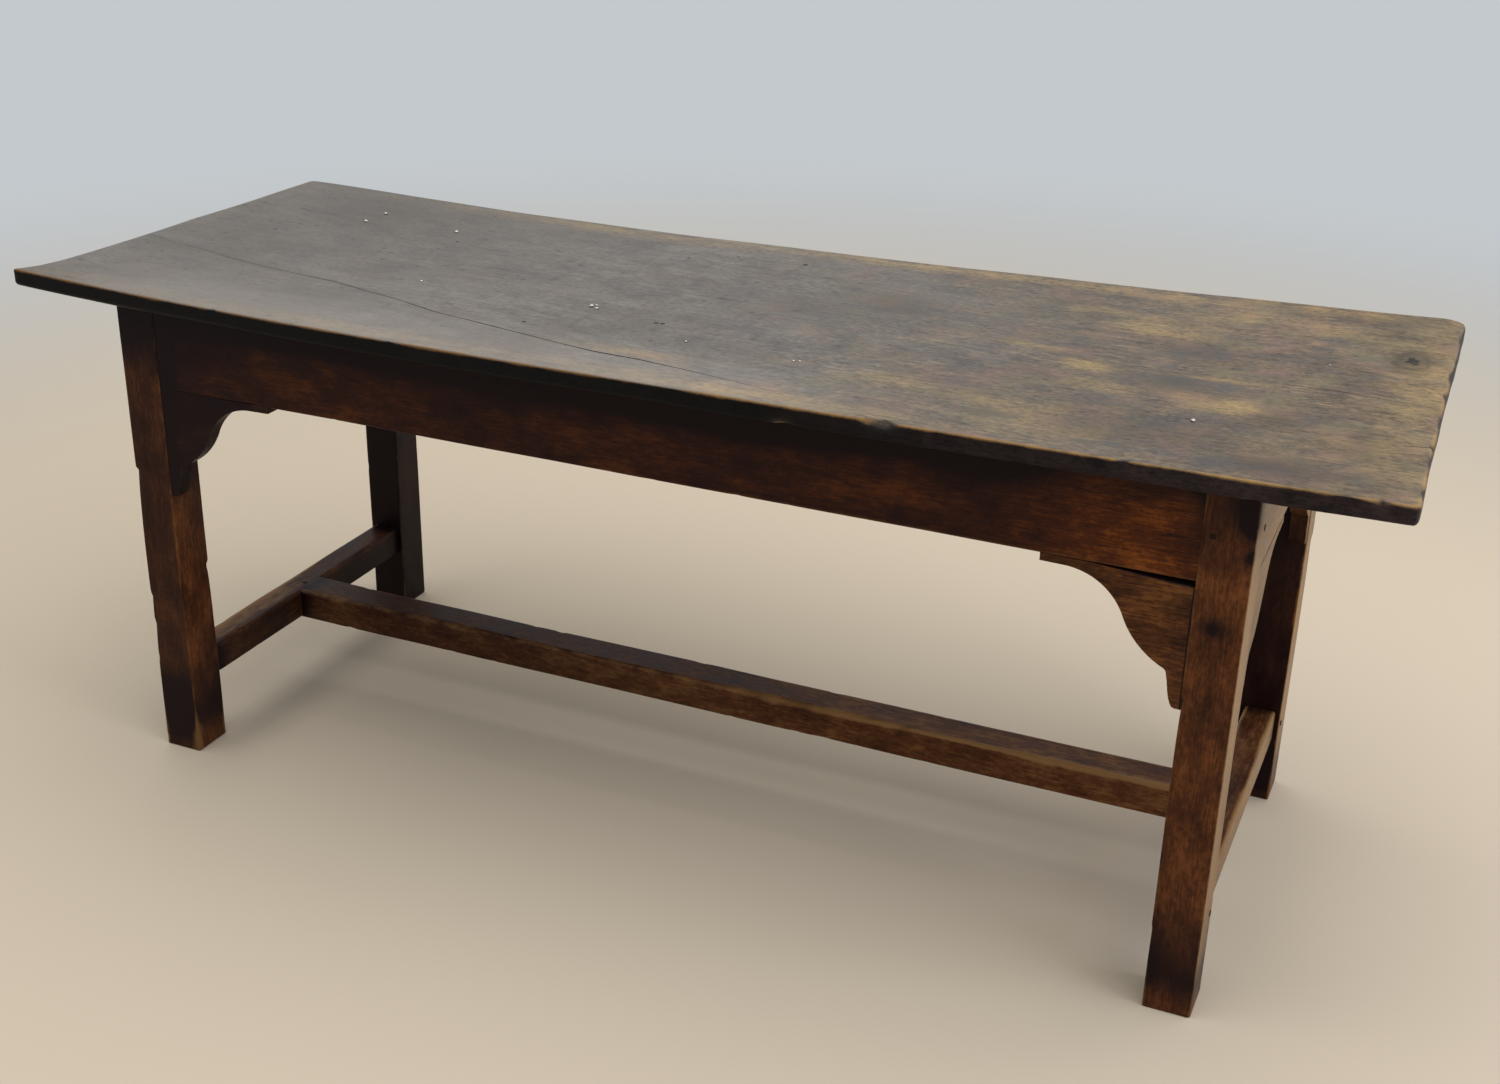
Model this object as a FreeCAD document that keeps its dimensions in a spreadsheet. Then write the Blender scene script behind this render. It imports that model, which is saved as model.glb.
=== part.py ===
import FreeCAD, Part
import math
import os

import Sketcher

# A long joined oak table: one tapered plank on a pegged frame with shaped brackets and an H of stretchers.
# X runs along the table, Y from front to back and Z up. The origin is on the floor, under the frame's middle.

# Driving sizes in millimetres
SIZES = [
    ("top_height", 756, "floor to the plank's upper face"),
    ("top_thickness", 25, "plank"),
    ("top_front_length", 1937, "plank along its front edge"),
    ("top_back_length", 1916, "plank along its back edge"),
    ("top_left_width", 685, "plank across its left end"),
    ("top_right_width", 733, "plank across its right end"),
    ("top_right_overhang", 160, "plank past the right legs"),
    ("top_front_overhang", 31, "plank past the front legs"),
    ("top_left_corner", 7, "radius of the plank's left corners in plan"),
    ("top_right_corner", 20, "radius of the plank's right corners in plan"),
    ("top_edge_round", 4, "rounding of the plank's upper and lower edges"),
    ("frame_length", 1632, "over the legs' outer faces"),
    ("frame_width", 654, "over the legs' outer faces"),
    ("leg_width", 63, "along the table"),
    ("leg_depth", 66, "across the table"),
    ("leg_arris", 3, "worn corner of a leg"),
    ("rail_height", 123, "long and end rails"),
    ("rail_thickness", 26, "long and end rails"),
    ("rail_setback", 1.5, "rail face behind the leg face"),
    ("rail_tenon_length", 32, "into the leg"),
    ("rail_tenon_thickness", 10, "in the middle of the rail"),
    ("rail_tenon_shoulder", 14, "rail above and below its tenon"),
    ("joint_clearance", 0.2, "between a tenon and each side of its mortise"),
    ("mortise_end_gap", 2, "past the tenon's end"),
    ("bracket_length", 188, "along the rail"),
    ("bracket_drop", 171, "down the leg"),
    ("bracket_thickness", 24, "board"),
    ("bracket_tip_height", 10, "square end under the rail"),
    ("bracket_lip", 29, "flat run behind the tip"),
    ("bracket_cove_radius", 85, "hollow of the ogee"),
    ("bracket_ovolo_radius", 113, "swell of the ogee"),
    ("bracket_tail_width", 20.5, "tail beside the leg"),
    ("bracket_tail_height", 49, "tail beside the leg"),
    ("bracket_tail_radius", 16, "rounded end of the tail"),
    ("bracket_tongue_length", 10, "into the leg"),
    ("bracket_tongue_thickness", 8, "in the middle of the board"),
    ("bracket_tongue_height", 60, "down the leg"),
    ("bracket_tongue_drop", 20, "rail to the tongue's upper edge"),
    ("bracket_shrink_gap", 7, "wedge between the front right bracket and its rail, at the leg"),
    ("bracket_shrink_run", 107, "length of that wedge"),
    ("stretcher_top", 154, "floor to the stretchers' upper faces"),
    ("end_stretcher_width", 46, "along the table"),
    ("end_stretcher_height", 48, "end stretcher"),
    ("end_tenon_length", 36, "into the leg"),
    ("end_tenon_thickness", 16, "in the middle of the stretcher"),
    ("end_tenon_shoulder", 6, "stretcher above and below its tenon"),
    ("centre_stretcher_width", 60, "across the table"),
    ("centre_stretcher_height", 50, "centre stretcher"),
    ("centre_stretcher_arris", 5, "worn upper corners of the centre stretcher"),
    ("centre_tenon_length", 30, "into the end stretcher"),
    ("centre_tenon_thickness", 16, "in the middle of the stretcher's height"),
    ("centre_tenon_shoulder", 8, "stretcher beside its tenon"),
    ("peg_diameter", 9.5, "riven oak peg"),
    ("peg_length", 44, "driven in flush"),
    ("peg_inset", 13.5, "from the shoulder line to the peg's centre"),
    ("peg_clearance", 0.1, "round a peg"),
    ("top_peg_length", 40, "blind peg between rail and plank"),
    ("top_peg_rise", 14, "of that peg in the plank"),
    ("top_peg_spacing", 520, "along a long rail"),
]

doc = FreeCAD.newDocument("refectory_table")
size = doc.addObject("Spreadsheet::Sheet", "size")
for row, (alias, number, note) in enumerate(SIZES, start=1):
    size.set(f"A{row}", note)
    size.set(f"B{row}", str(number))
    size.setAlias(f"B{row}", alias)
doc.recompute()

pieces = []

# Places that several pieces share, worked out from the driving sizes
HALF_LENGTH = "size.frame_length / 2"
HALF_WIDTH = "size.frame_width / 2"
FRAME_TOP = "(size.top_height - size.top_thickness)"
RAIL_FOOT = f"({FRAME_TOP} - size.rail_height)"
RAIL_MIDDLE = f"({FRAME_TOP} - size.rail_height / 2)"
LEG_X = f"({HALF_LENGTH} - size.leg_width / 2)"
LEG_Y = f"({HALF_WIDTH} - size.leg_depth / 2)"
LEG_INNER_X = f"({HALF_LENGTH} - size.leg_width)"
LEG_INNER_Y = f"({HALF_WIDTH} - size.leg_depth)"
LONG_RAIL_Y = f"({HALF_WIDTH} - size.rail_setback - size.rail_thickness / 2)"
END_RAIL_X = f"({HALF_LENGTH} - size.rail_setback - size.rail_thickness / 2)"
LONG_BRACKET_Y = f"({HALF_WIDTH} - size.rail_setback - size.bracket_thickness / 2)"
END_BRACKET_X = f"({HALF_LENGTH} - size.rail_setback - size.bracket_thickness / 2)"
TONGUE_MIDDLE = f"({RAIL_FOOT} - size.bracket_tongue_drop - size.bracket_tongue_height / 2)"
END_STRETCHER_MIDDLE = "(size.stretcher_top - size.end_stretcher_height / 2)"
CENTRE_STRETCHER_MIDDLE = "(size.stretcher_top - size.centre_stretcher_height / 2)"
STRETCHER_SHOULDER_X = f"({LEG_X} - size.end_stretcher_width / 2)"
LONG_PEG_X = f"({LEG_INNER_X} + size.peg_inset)"
END_PEG_Y = f"({LEG_INNER_Y} + size.peg_inset)"
RAIL_TENON_HEIGHT = "(size.rail_height - 2 * size.rail_tenon_shoulder)"
END_TENON_HEIGHT = "(size.end_stretcher_height - 2 * size.end_tenon_shoulder)"
CENTRE_TENON_WIDTH = "(size.centre_stretcher_width - 2 * size.centre_tenon_shoulder)"
EASE = "2 * size.joint_clearance"

SIDES = {"left": -1, "right": 1}
ENDS = {"front": -1, "back": 1}


def value(alias):
    return float(size.get(alias))


def place(item, point):
    for axis, expression in zip("xyz", point):
        item.setExpression("Placement.Base." + axis, expression)


def block(name, centre, extent):
    box = doc.addObject("Part::Box", name)
    for edge, expression in zip(("Length", "Width", "Height"), extent):
        box.setExpression(edge, expression)
    place(box, [f"{middle} - ({across}) / 2" for middle, across in zip(centre, extent)])
    return box


def rod(name, start, along, diameter, length):
    cylinder = doc.addObject("Part::Cylinder", name)
    turn = FreeCAD.Rotation(FreeCAD.Vector(0, 0, 1), FreeCAD.Vector(*along))
    cylinder.Placement = FreeCAD.Placement(FreeCAD.Vector(), turn)
    cylinder.setExpression("Radius", f"({diameter}) / 2")
    cylinder.setExpression("Height", length)
    place(cylinder, start)
    return cylinder


def grouped(name, members):
    group = doc.addObject("Part::Compound", name)
    group.Links = members
    return group


def joined(name, members):
    union = doc.addObject("Part::MultiFuse", name)
    union.Shapes = members
    union.Refine = True
    return union


def eased(name, blank, alias, is_worn):
    doc.recompute()
    worn = [n for n, edge in enumerate(blank.Shape.Edges, start=1) if is_worn(edge)]
    chamfer = doc.addObject("Part::Chamfer", name)
    chamfer.Base = blank
    chamfer.Edges = [(n, value(alias), value(alias)) for n in worn]
    return chamfer


def cut_piece(label, blank, cuts):
    piece = doc.addObject("Part::Cut", label)
    piece.Base = blank
    piece.Tool = grouped(label + "_cuts", cuts)
    pieces.append(piece)


def peg_and_hole(name, start, along, length):
    peg = rod(name, start, along, "size.peg_diameter", length)
    hole = rod(name + "_hole", start, along, "size.peg_diameter + 2 * size.peg_clearance", length)
    return peg, hole


def is_upright(edge):
    return abs(edge.tangentAt(edge.FirstParameter).z) > 0.99


def is_upper_long(edge):
    runs_along = abs(edge.tangentAt(edge.FirstParameter).x) > 0.99
    return runs_along and edge.CenterOfMass.z > value("stretcher_top") - value("centre_stretcher_height") / 2


def sketch_on(body, role, name):
    sketch = body.newObject("Sketcher::SketchObject", name)
    plane = next(item for item in body.Origin.OriginFeatures if item.Role == role)
    sketch.AttachmentSupport = [(plane, "")]
    sketch.MapMode = "FlatFace"
    return sketch


def outline(sketch, corners):
    points = [FreeCAD.Vector(x, y, 0) for x, y in corners]
    for start, end in zip(points, points[1:] + points[:1]):
        sketch.addGeometry(Part.LineSegment(start, end))
    for line in range(len(points)):
        sketch.addConstraint(Sketcher.Constraint("Coincident", line, 2, (line + 1) % len(points), 1))


def bound(sketch, name, expression, kind, *where):
    place_in_list = sketch.addConstraint(Sketcher.Constraint(kind, *where))
    sketch.renameConstraint(place_in_list, name)
    sketch.setExpression("Constraints." + name, expression)


def padded(body, sketch, name, expression, both_ways):
    pad = body.newObject("PartDesign::Pad", name)
    pad.Profile = sketch
    pad.Midplane = both_ways
    pad.setExpression("Length", expression)
    return pad


# Draw pegs and their holes, one at each tenon
long_pegs = {}
end_pegs = {}
stretcher_pegs = {}
for side, sx in SIDES.items():
    for end, sy in ENDS.items():
        at = f"{end}_{side}"
        corner = (side, end)
        face_x = f"{sx} * {HALF_LENGTH}"
        face_y = f"{sy} * {HALF_WIDTH}"
        long_pegs[corner] = peg_and_hole(
            at + "_long_peg", (f"{sx} * {LONG_PEG_X}", face_y, RAIL_MIDDLE), (0, -sy, 0), "size.peg_length")
        end_pegs[corner] = peg_and_hole(
            at + "_end_peg", (face_x, f"{sy} * {END_PEG_Y}", RAIL_MIDDLE), (-sx, 0, 0), "size.peg_length")
        stretcher_pegs[corner] = peg_and_hole(
            at + "_stretcher_peg", (face_x, f"{sy} * {END_PEG_Y}", END_STRETCHER_MIDDLE), (-sx, 0, 0),
            "size.peg_length")

centre_pegs = {}
for side, sx in SIDES.items():
    peg_x = f"{sx} * ({STRETCHER_SHOULDER_X} + size.peg_inset)"
    centre_pegs[side] = peg_and_hole(
        side + "_centre_peg", (peg_x, "0", "size.stretcher_top"), (0, 0, -1), "size.peg_length")

# Blind pegs that hold the plank: three along each long rail and one in each end rail
top_pegs = {}
for end, sy in ENDS.items():
    top_pegs[end] = []
    for step in (-1, 0, 1):
        foot = (f"{step} * size.top_peg_spacing", f"{sy} * {LONG_RAIL_Y}",
                f"{FRAME_TOP} + size.top_peg_rise - size.top_peg_length")
        top_pegs[end].append(peg_and_hole(f"{end}_top_peg", foot, (0, 0, 1), "size.top_peg_length"))
for side, sx in SIDES.items():
    foot = (f"{sx} * {END_RAIL_X}", "0", f"{FRAME_TOP} + size.top_peg_rise - size.top_peg_length")
    top_pegs[side] = [peg_and_hole(f"{side}_top_peg", foot, (0, 0, 1), "size.top_peg_length")]

peg_groups = {
    "long_rail_pegs": list(long_pegs.values()),
    "end_rail_pegs": list(end_pegs.values()),
    "stretcher_pegs": list(stretcher_pegs.values()),
    "centre_stretcher_pegs": list(centre_pegs.values()),
    "top_pegs": [pair for pairs in top_pegs.values() for pair in pairs],
}
for label, pairs in peg_groups.items():
    pieces.append(grouped(label, [peg for peg, hole in pairs]))

# Legs: square posts, mortised for two rails, two bracket tongues and a stretcher
for side, sx in SIDES.items():
    for end, sy in ENDS.items():
        label = f"{end}_{side}_leg"
        corner = (side, end)
        post = block(label + "_post", (f"{sx} * {LEG_X}", f"{sy} * {LEG_Y}", f"{FRAME_TOP} / 2"),
                     ("size.leg_width", "size.leg_depth", FRAME_TOP))
        rail_depth = "(size.rail_tenon_length + size.mortise_end_gap)"
        tongue_depth = "(size.bracket_tongue_length + size.mortise_end_gap)"
        end_depth = "(size.end_tenon_length + size.mortise_end_gap)"
        rail_slot = f"size.rail_tenon_thickness + {EASE}"
        rail_run = f"{RAIL_TENON_HEIGHT} + {EASE}"
        tongue_slot = f"size.bracket_tongue_thickness + {EASE}"
        tongue_run = f"size.bracket_tongue_height + {EASE}"
        cuts = [
            block(label + "_long_mortise",
                  (f"{sx} * ({LEG_INNER_X} + {rail_depth} / 2)", f"{sy} * {LONG_RAIL_Y}", RAIL_MIDDLE),
                  (rail_depth, rail_slot, rail_run)),
            block(label + "_end_mortise",
                  (f"{sx} * {END_RAIL_X}", f"{sy} * ({LEG_INNER_Y} + {rail_depth} / 2)", RAIL_MIDDLE),
                  (rail_slot, rail_depth, rail_run)),
            block(label + "_long_tongue_slot",
                  (f"{sx} * ({LEG_INNER_X} + {tongue_depth} / 2)", f"{sy} * {LONG_BRACKET_Y}", TONGUE_MIDDLE),
                  (tongue_depth, tongue_slot, tongue_run)),
            block(label + "_end_tongue_slot",
                  (f"{sx} * {END_BRACKET_X}", f"{sy} * ({LEG_INNER_Y} + {tongue_depth} / 2)", TONGUE_MIDDLE),
                  (tongue_slot, tongue_depth, tongue_run)),
            block(label + "_stretcher_mortise",
                  (f"{sx} * {LEG_X}", f"{sy} * ({LEG_INNER_Y} + {end_depth} / 2)", END_STRETCHER_MIDDLE),
                  (f"size.end_tenon_thickness + {EASE}", end_depth, f"{END_TENON_HEIGHT} + {EASE}")),
        ]
        cuts += [pegs[corner][1] for pegs in (long_pegs, end_pegs, stretcher_pegs)]
        cut_piece(label, eased(label + "_worn_post", post, "leg_arris", is_upright), cuts)

# Long rails: boards on edge, tenoned into the legs
for end, sy in ENDS.items():
    label = f"{end}_rail"
    rail_y = f"{sy} * {LONG_RAIL_Y}"
    board = block(label + "_board", ("0", rail_y, RAIL_MIDDLE),
                  (f"2 * {LEG_INNER_X}", "size.rail_thickness", "size.rail_height"))
    tenon = block(label + "_tenon", ("0", rail_y, RAIL_MIDDLE),
                  (f"2 * ({LEG_INNER_X} + size.rail_tenon_length)", "size.rail_tenon_thickness", RAIL_TENON_HEIGHT))
    holes = [long_pegs[side, end][1] for side in SIDES] + [hole for peg, hole in top_pegs[end]]
    cut_piece(label, joined(label + "_blank", [board, tenon]), holes)

# End rails: the same boards across the ends
for side, sx in SIDES.items():
    label = f"{side}_end_rail"
    rail_x = f"{sx} * {END_RAIL_X}"
    board = block(label + "_board", (rail_x, "0", RAIL_MIDDLE),
                  ("size.rail_thickness", f"2 * {LEG_INNER_Y}", "size.rail_height"))
    tenon = block(label + "_tenon", (rail_x, "0", RAIL_MIDDLE),
                  ("size.rail_tenon_thickness", f"2 * ({LEG_INNER_Y} + size.rail_tenon_length)", RAIL_TENON_HEIGHT))
    holes = [end_pegs[side, end][1] for end in ENDS] + [hole for peg, hole in top_pegs[side]]
    cut_piece(label, joined(label + "_blank", [board, tenon]), holes)

# End stretchers: low rails between the front and back legs, mortised for the centre stretcher
centre_depth = "(size.centre_tenon_length + size.mortise_end_gap)"
for side, sx in SIDES.items():
    label = f"{side}_end_stretcher"
    stretcher_x = f"{sx} * {LEG_X}"
    bar = block(label + "_bar", (stretcher_x, "0", END_STRETCHER_MIDDLE),
                ("size.end_stretcher_width", f"2 * {LEG_INNER_Y}", "size.end_stretcher_height"))
    tenon = block(label + "_tenon", (stretcher_x, "0", END_STRETCHER_MIDDLE),
                  ("size.end_tenon_thickness", f"2 * ({LEG_INNER_Y} + size.end_tenon_length)", END_TENON_HEIGHT))
    mortise = block(label + "_mortise",
                    (f"{sx} * ({STRETCHER_SHOULDER_X} + {centre_depth} / 2)", "0", CENTRE_STRETCHER_MIDDLE),
                    (centre_depth, f"{CENTRE_TENON_WIDTH} + {EASE}", f"size.centre_tenon_thickness + {EASE}"))
    holes = [stretcher_pegs[side, end][1] for end in ENDS] + [centre_pegs[side][1]]
    cut_piece(label, joined(label + "_blank", [bar, tenon]), [mortise] + holes)

# Centre stretcher: one long bar with worn upper corners, tenoned into the end stretchers
bar = block("centre_stretcher_bar", ("0", "0", CENTRE_STRETCHER_MIDDLE),
            (f"2 * {STRETCHER_SHOULDER_X}", "size.centre_stretcher_width", "size.centre_stretcher_height"))
tenon = block("centre_stretcher_tenon", ("0", "0", CENTRE_STRETCHER_MIDDLE),
              (f"2 * ({STRETCHER_SHOULDER_X} + size.centre_tenon_length)", CENTRE_TENON_WIDTH,
               "size.centre_tenon_thickness"))
worn_bar = eased("centre_stretcher_worn_bar", bar, "centre_stretcher_arris", is_upper_long)
cut_piece("centre_stretcher", joined("centre_stretcher_blank", [worn_bar, tenon]),
          [hole for peg, hole in centre_pegs.values()])


# Brackets: ogee boards in the corners of legs and rails, with a stub tongue in the leg.
# The profile's X runs from the leg along the rail, and its Y is the height from the rail's lower edge.
def ogee_joint(cove_centre, cove_radius, heel, ovolo_radius):
    reach = math.dist(cove_centre, heel)
    bearing = math.atan2(heel[1] - cove_centre[1], heel[0] - cove_centre[0])
    span = cove_radius + ovolo_radius
    spread = math.acos((span ** 2 + reach ** 2 - ovolo_radius ** 2) / (2 * span * reach))
    turn = bearing - spread
    ovolo_centre = (cove_centre[0] + span * math.cos(turn), cove_centre[1] + span * math.sin(turn))
    return ovolo_centre, turn


def arc(centre, radius, start, end):
    circle = Part.Circle(FreeCAD.Vector(*centre, 0), FreeCAD.Vector(0, 0, 1), radius)
    return Part.ArcOfCircle(circle, start, end)


def bracket(label, turn_degrees, corner, shrunk):
    length, drop = value("bracket_length"), value("bracket_drop")
    tip, lip = value("bracket_tip_height"), value("bracket_lip")
    cove, ovolo = value("bracket_cove_radius"), value("bracket_ovolo_radius")
    tail_width, tail_height = value("bracket_tail_width"), value("bracket_tail_height")
    tail_radius = value("bracket_tail_radius")
    gap = value("bracket_shrink_gap") if shrunk else 0

    body = doc.addObject("PartDesign::Body", label)
    body.Placement = FreeCAD.Placement(
        FreeCAD.Vector(), FreeCAD.Rotation(FreeCAD.Vector(0, 0, 1), turn_degrees))
    place(body, corner)
    profile = sketch_on(body, "XZ_Plane", label + "_profile")
    heel = (tail_width, tail_height - drop)
    cove_centre = (length - lip, -tip - cove)
    ovolo_centre, bend = ogee_joint(cove_centre, cove, heel, ovolo)
    heel_angle = math.atan2(heel[1] - ovolo_centre[1], heel[0] - ovolo_centre[0])
    straights = {
        "end": ((length, 0), (length, -tip)),
        "lip": ((length, -tip), (length - lip, -tip)),
        "tail": (heel, (tail_width, tail_radius - drop)),
        "foot": ((tail_width - tail_radius, -drop), (0, -drop)),
        "leg_side": ((0, -drop), (0, -gap)),
        "top": ((value("bracket_shrink_run") if shrunk else 0, 0), (length, 0)),
    }
    line = {}
    for name, ends in straights.items():
        line[name] = profile.addGeometry(Part.LineSegment(*[FreeCAD.Vector(x, y, 0) for x, y in ends]))
    curve = {
        "cove": profile.addGeometry(arc(cove_centre, cove, math.pi / 2, bend % (2 * math.pi))),
        "ovolo": profile.addGeometry(arc(ovolo_centre, ovolo, heel_angle, bend - math.pi)),
        "toe": profile.addGeometry(
            arc((tail_width - tail_radius, tail_radius - drop), tail_radius, -math.pi / 2, 0)),
    }
    joints = [
        ("Coincident", line["top"], 2, line["end"], 1),
        ("Coincident", line["end"], 2, line["lip"], 1),
        ("Tangent", line["lip"], 2, curve["cove"], 1),
        ("Tangent", curve["cove"], 2, curve["ovolo"], 2),
        ("Coincident", curve["ovolo"], 1, line["tail"], 1),
        ("Tangent", line["tail"], 2, curve["toe"], 2),
        ("Tangent", curve["toe"], 1, line["foot"], 1),
        ("Coincident", line["foot"], 2, line["leg_side"], 1),
        ("Horizontal", line["top"]),
        ("Horizontal", line["lip"]),
        ("Horizontal", line["foot"]),
        ("Vertical", line["end"]),
        ("Vertical", line["tail"]),
        ("PointOnObject", line["top"], 1, -1),
        ("PointOnObject", line["leg_side"], 1, -2),
        ("PointOnObject", line["leg_side"], 2, -2),
    ]
    if shrunk:
        line["wedge"] = profile.addGeometry(Part.LineSegment(
            FreeCAD.Vector(0, -gap, 0), FreeCAD.Vector(value("bracket_shrink_run"), 0, 0)))
        joints.append(("Coincident", line["leg_side"], 2, line["wedge"], 1))
        joints.append(("Coincident", line["wedge"], 2, line["top"], 1))
    else:
        joints.append(("Coincident", line["leg_side"], 2, line["top"], 1))
    for joint in joints:
        profile.addConstraint(Sketcher.Constraint(*joint))
    bound(profile, "length", "size.bracket_length", "DistanceX", -1, 1, line["top"], 2, length)
    bound(profile, "drop", "size.bracket_drop", "DistanceY", line["foot"], 2, -1, 1, drop)
    bound(profile, "tip", "size.bracket_tip_height", "DistanceY", line["end"], 2, line["end"], 1, tip)
    bound(profile, "lip", "size.bracket_lip", "DistanceX", line["lip"], 2, line["lip"], 1, lip)
    bound(profile, "cove", "size.bracket_cove_radius", "Radius", curve["cove"], cove)
    bound(profile, "ovolo", "size.bracket_ovolo_radius", "Radius", curve["ovolo"], ovolo)
    bound(profile, "toe", "size.bracket_tail_radius", "Radius", curve["toe"], tail_radius)
    bound(profile, "tail_width", "size.bracket_tail_width", "DistanceX", -1, 1, line["tail"], 1, tail_width)
    bound(profile, "tail_height", "size.bracket_tail_height",
          "DistanceY", line["foot"], 2, line["tail"], 1, tail_height)
    if shrunk:
        bound(profile, "gap", "size.bracket_shrink_gap", "DistanceY", line["wedge"], 1, -1, 1, gap)
        bound(profile, "run", "size.bracket_shrink_run",
              "DistanceX", -1, 1, line["wedge"], 2, value("bracket_shrink_run"))
    padded(body, profile, label + "_board", "size.bracket_thickness", True)

    reach, deep = value("bracket_tongue_length"), value("bracket_tongue_height")
    below = value("bracket_tongue_drop")
    tongue = sketch_on(body, "XZ_Plane", label + "_tongue_profile")
    outline(tongue, [(0, -below), (-reach, -below), (-reach, -below - deep), (0, -below - deep)])
    for side, way in enumerate(("Horizontal", "Vertical", "Horizontal", "Vertical")):
        tongue.addConstraint(Sketcher.Constraint(way, side))
    tongue.addConstraint(Sketcher.Constraint("PointOnObject", 0, 1, -2))
    bound(tongue, "reach", "size.bracket_tongue_length", "DistanceX", 0, 2, 0, 1, reach)
    bound(tongue, "deep", "size.bracket_tongue_height", "DistanceY", 1, 2, 1, 1, deep)
    bound(tongue, "below", "size.bracket_tongue_drop", "DistanceY", 0, 1, -1, 1, below)
    padded(body, tongue, label + "_tongue", "size.bracket_tongue_thickness", True)
    pieces.append(body)


for side, sx in SIDES.items():
    for end, sy in ENDS.items():
        is_shrunk = (side, end) == ("right", "front")
        bracket(f"{end}_{side}_bracket", 90 + 90 * sx,
                (f"{sx} * {LEG_INNER_X}", f"{sy} * {LONG_BRACKET_Y}", RAIL_FOOT), is_shrunk)
        bracket(f"{side}_end_{end}_bracket", -90 * sy,
                (f"{sx} * {END_BRACKET_X}", f"{sy} * {LEG_INNER_Y}", RAIL_FOOT), False)

# Plank: one board, wider at the right, with rounded corners and edges, drilled from below for its pegs.
# The plan's origin is the front right corner.
plank = doc.addObject("PartDesign::Body", "top_plank_board")
place(plank, (f"{HALF_LENGTH} + size.top_right_overhang", f"-({HALF_WIDTH} + size.top_front_overhang)", FRAME_TOP))
plan = sketch_on(plank, "XY_Plane", "plank_plan")
outline(plan, [(0, 0), (0, value("top_right_width")), (-value("top_back_length"), value("top_left_width")),
               (-value("top_front_length"), 0)])
plan.addConstraint(Sketcher.Constraint("Coincident", 0, 1, -1, 1))
plan.addConstraint(Sketcher.Constraint("Vertical", 0))
plan.addConstraint(Sketcher.Constraint("Horizontal", 3))
bound(plan, "right_width", "size.top_right_width", "DistanceY", 0, 1, 0, 2, value("top_right_width"))
bound(plan, "left_width", "size.top_left_width", "DistanceY", 0, 1, 1, 2, value("top_left_width"))
bound(plan, "back_length", "size.top_back_length", "DistanceX", 1, 2, 0, 1, value("top_back_length"))
bound(plan, "front_length", "size.top_front_length", "DistanceX", 2, 2, 0, 1, value("top_front_length"))
padded(plank, plan, "plank_pad", "size.top_thickness", False)


def rounded(body, name, alias, is_round):
    doc.recompute()
    base = body.Tip
    edges = [f"Edge{n}" for n, edge in enumerate(base.Shape.Edges, start=1) if is_round(edge)]
    fillet = body.newObject("PartDesign::Fillet", name)
    fillet.Base = (base, edges)
    fillet.setExpression("Radius", "size." + alias)


def is_right_corner(edge):
    return is_upright(edge) and edge.CenterOfMass.x > -value("top_front_length") / 2


def is_left_corner(edge):
    return is_upright(edge) and edge.CenterOfMass.x < -value("top_front_length") / 2


def is_level(edge):
    return not is_upright(edge)


rounded(plank, "plank_right_corners", "top_right_corner", is_right_corner)
rounded(plank, "plank_left_corners", "top_left_corner", is_left_corner)
rounded(plank, "plank_edges", "top_edge_round", is_level)
cut_piece("top_plank", plank, [hole for pairs in top_pegs.values() for peg, hole in pairs])

doc.recompute()
for item in doc.Objects:
    if "Invalid" in item.State or "Error" in item.State:
        raise RuntimeError(f"{item.Label} failed: {item.State}")
for piece in pieces:
    if piece.Shape.isNull() or not piece.Shape.isValid():
        raise RuntimeError(f"{piece.Label} has no sound shape")

os.makedirs("parts", exist_ok=True)
for piece in pieces:
    piece.Shape.exportStep(f"parts/{piece.Label}.step")
    print(f"{piece.Label}: {len(piece.Shape.Solids)} solids, {piece.Shape.Volume / 1000:.1f} cm3")
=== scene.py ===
import math

import bmesh
import bpy
import numpy as np
from mathutils import Matrix, Vector, noise


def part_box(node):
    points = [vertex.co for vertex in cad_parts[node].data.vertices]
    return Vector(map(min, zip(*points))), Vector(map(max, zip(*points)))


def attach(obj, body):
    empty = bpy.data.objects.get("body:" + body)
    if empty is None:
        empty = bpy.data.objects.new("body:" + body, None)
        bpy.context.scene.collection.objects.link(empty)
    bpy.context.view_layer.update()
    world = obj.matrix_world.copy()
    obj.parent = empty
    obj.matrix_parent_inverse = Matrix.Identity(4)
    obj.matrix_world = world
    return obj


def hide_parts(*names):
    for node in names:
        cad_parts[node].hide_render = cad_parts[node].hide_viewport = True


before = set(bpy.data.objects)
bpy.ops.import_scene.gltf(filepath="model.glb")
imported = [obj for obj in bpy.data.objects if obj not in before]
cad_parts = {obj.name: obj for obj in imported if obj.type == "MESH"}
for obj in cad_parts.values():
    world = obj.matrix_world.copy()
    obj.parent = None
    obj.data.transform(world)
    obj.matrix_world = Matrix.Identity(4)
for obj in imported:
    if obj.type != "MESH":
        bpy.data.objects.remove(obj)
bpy.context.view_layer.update()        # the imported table: one body, "root", and its CAD nodes


# Legs: four square posts of quartered oak, two and a half inches thick, planed by hand and left plain.
# They run from the floor to the plank and take the tenons of the rails, brackets and stretchers.
# Kicks and mops have rounded their corners unevenly, split slivers off them and blackened the feet.
LEG_NODES = ("front_left_leg", "front_right_leg", "back_left_leg", "back_right_leg")
LEG_ARRIS_MM = 2.3
LEG_END_ROUND_MM = 2.5
LEG_INTO_PLANK = 0.003
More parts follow.
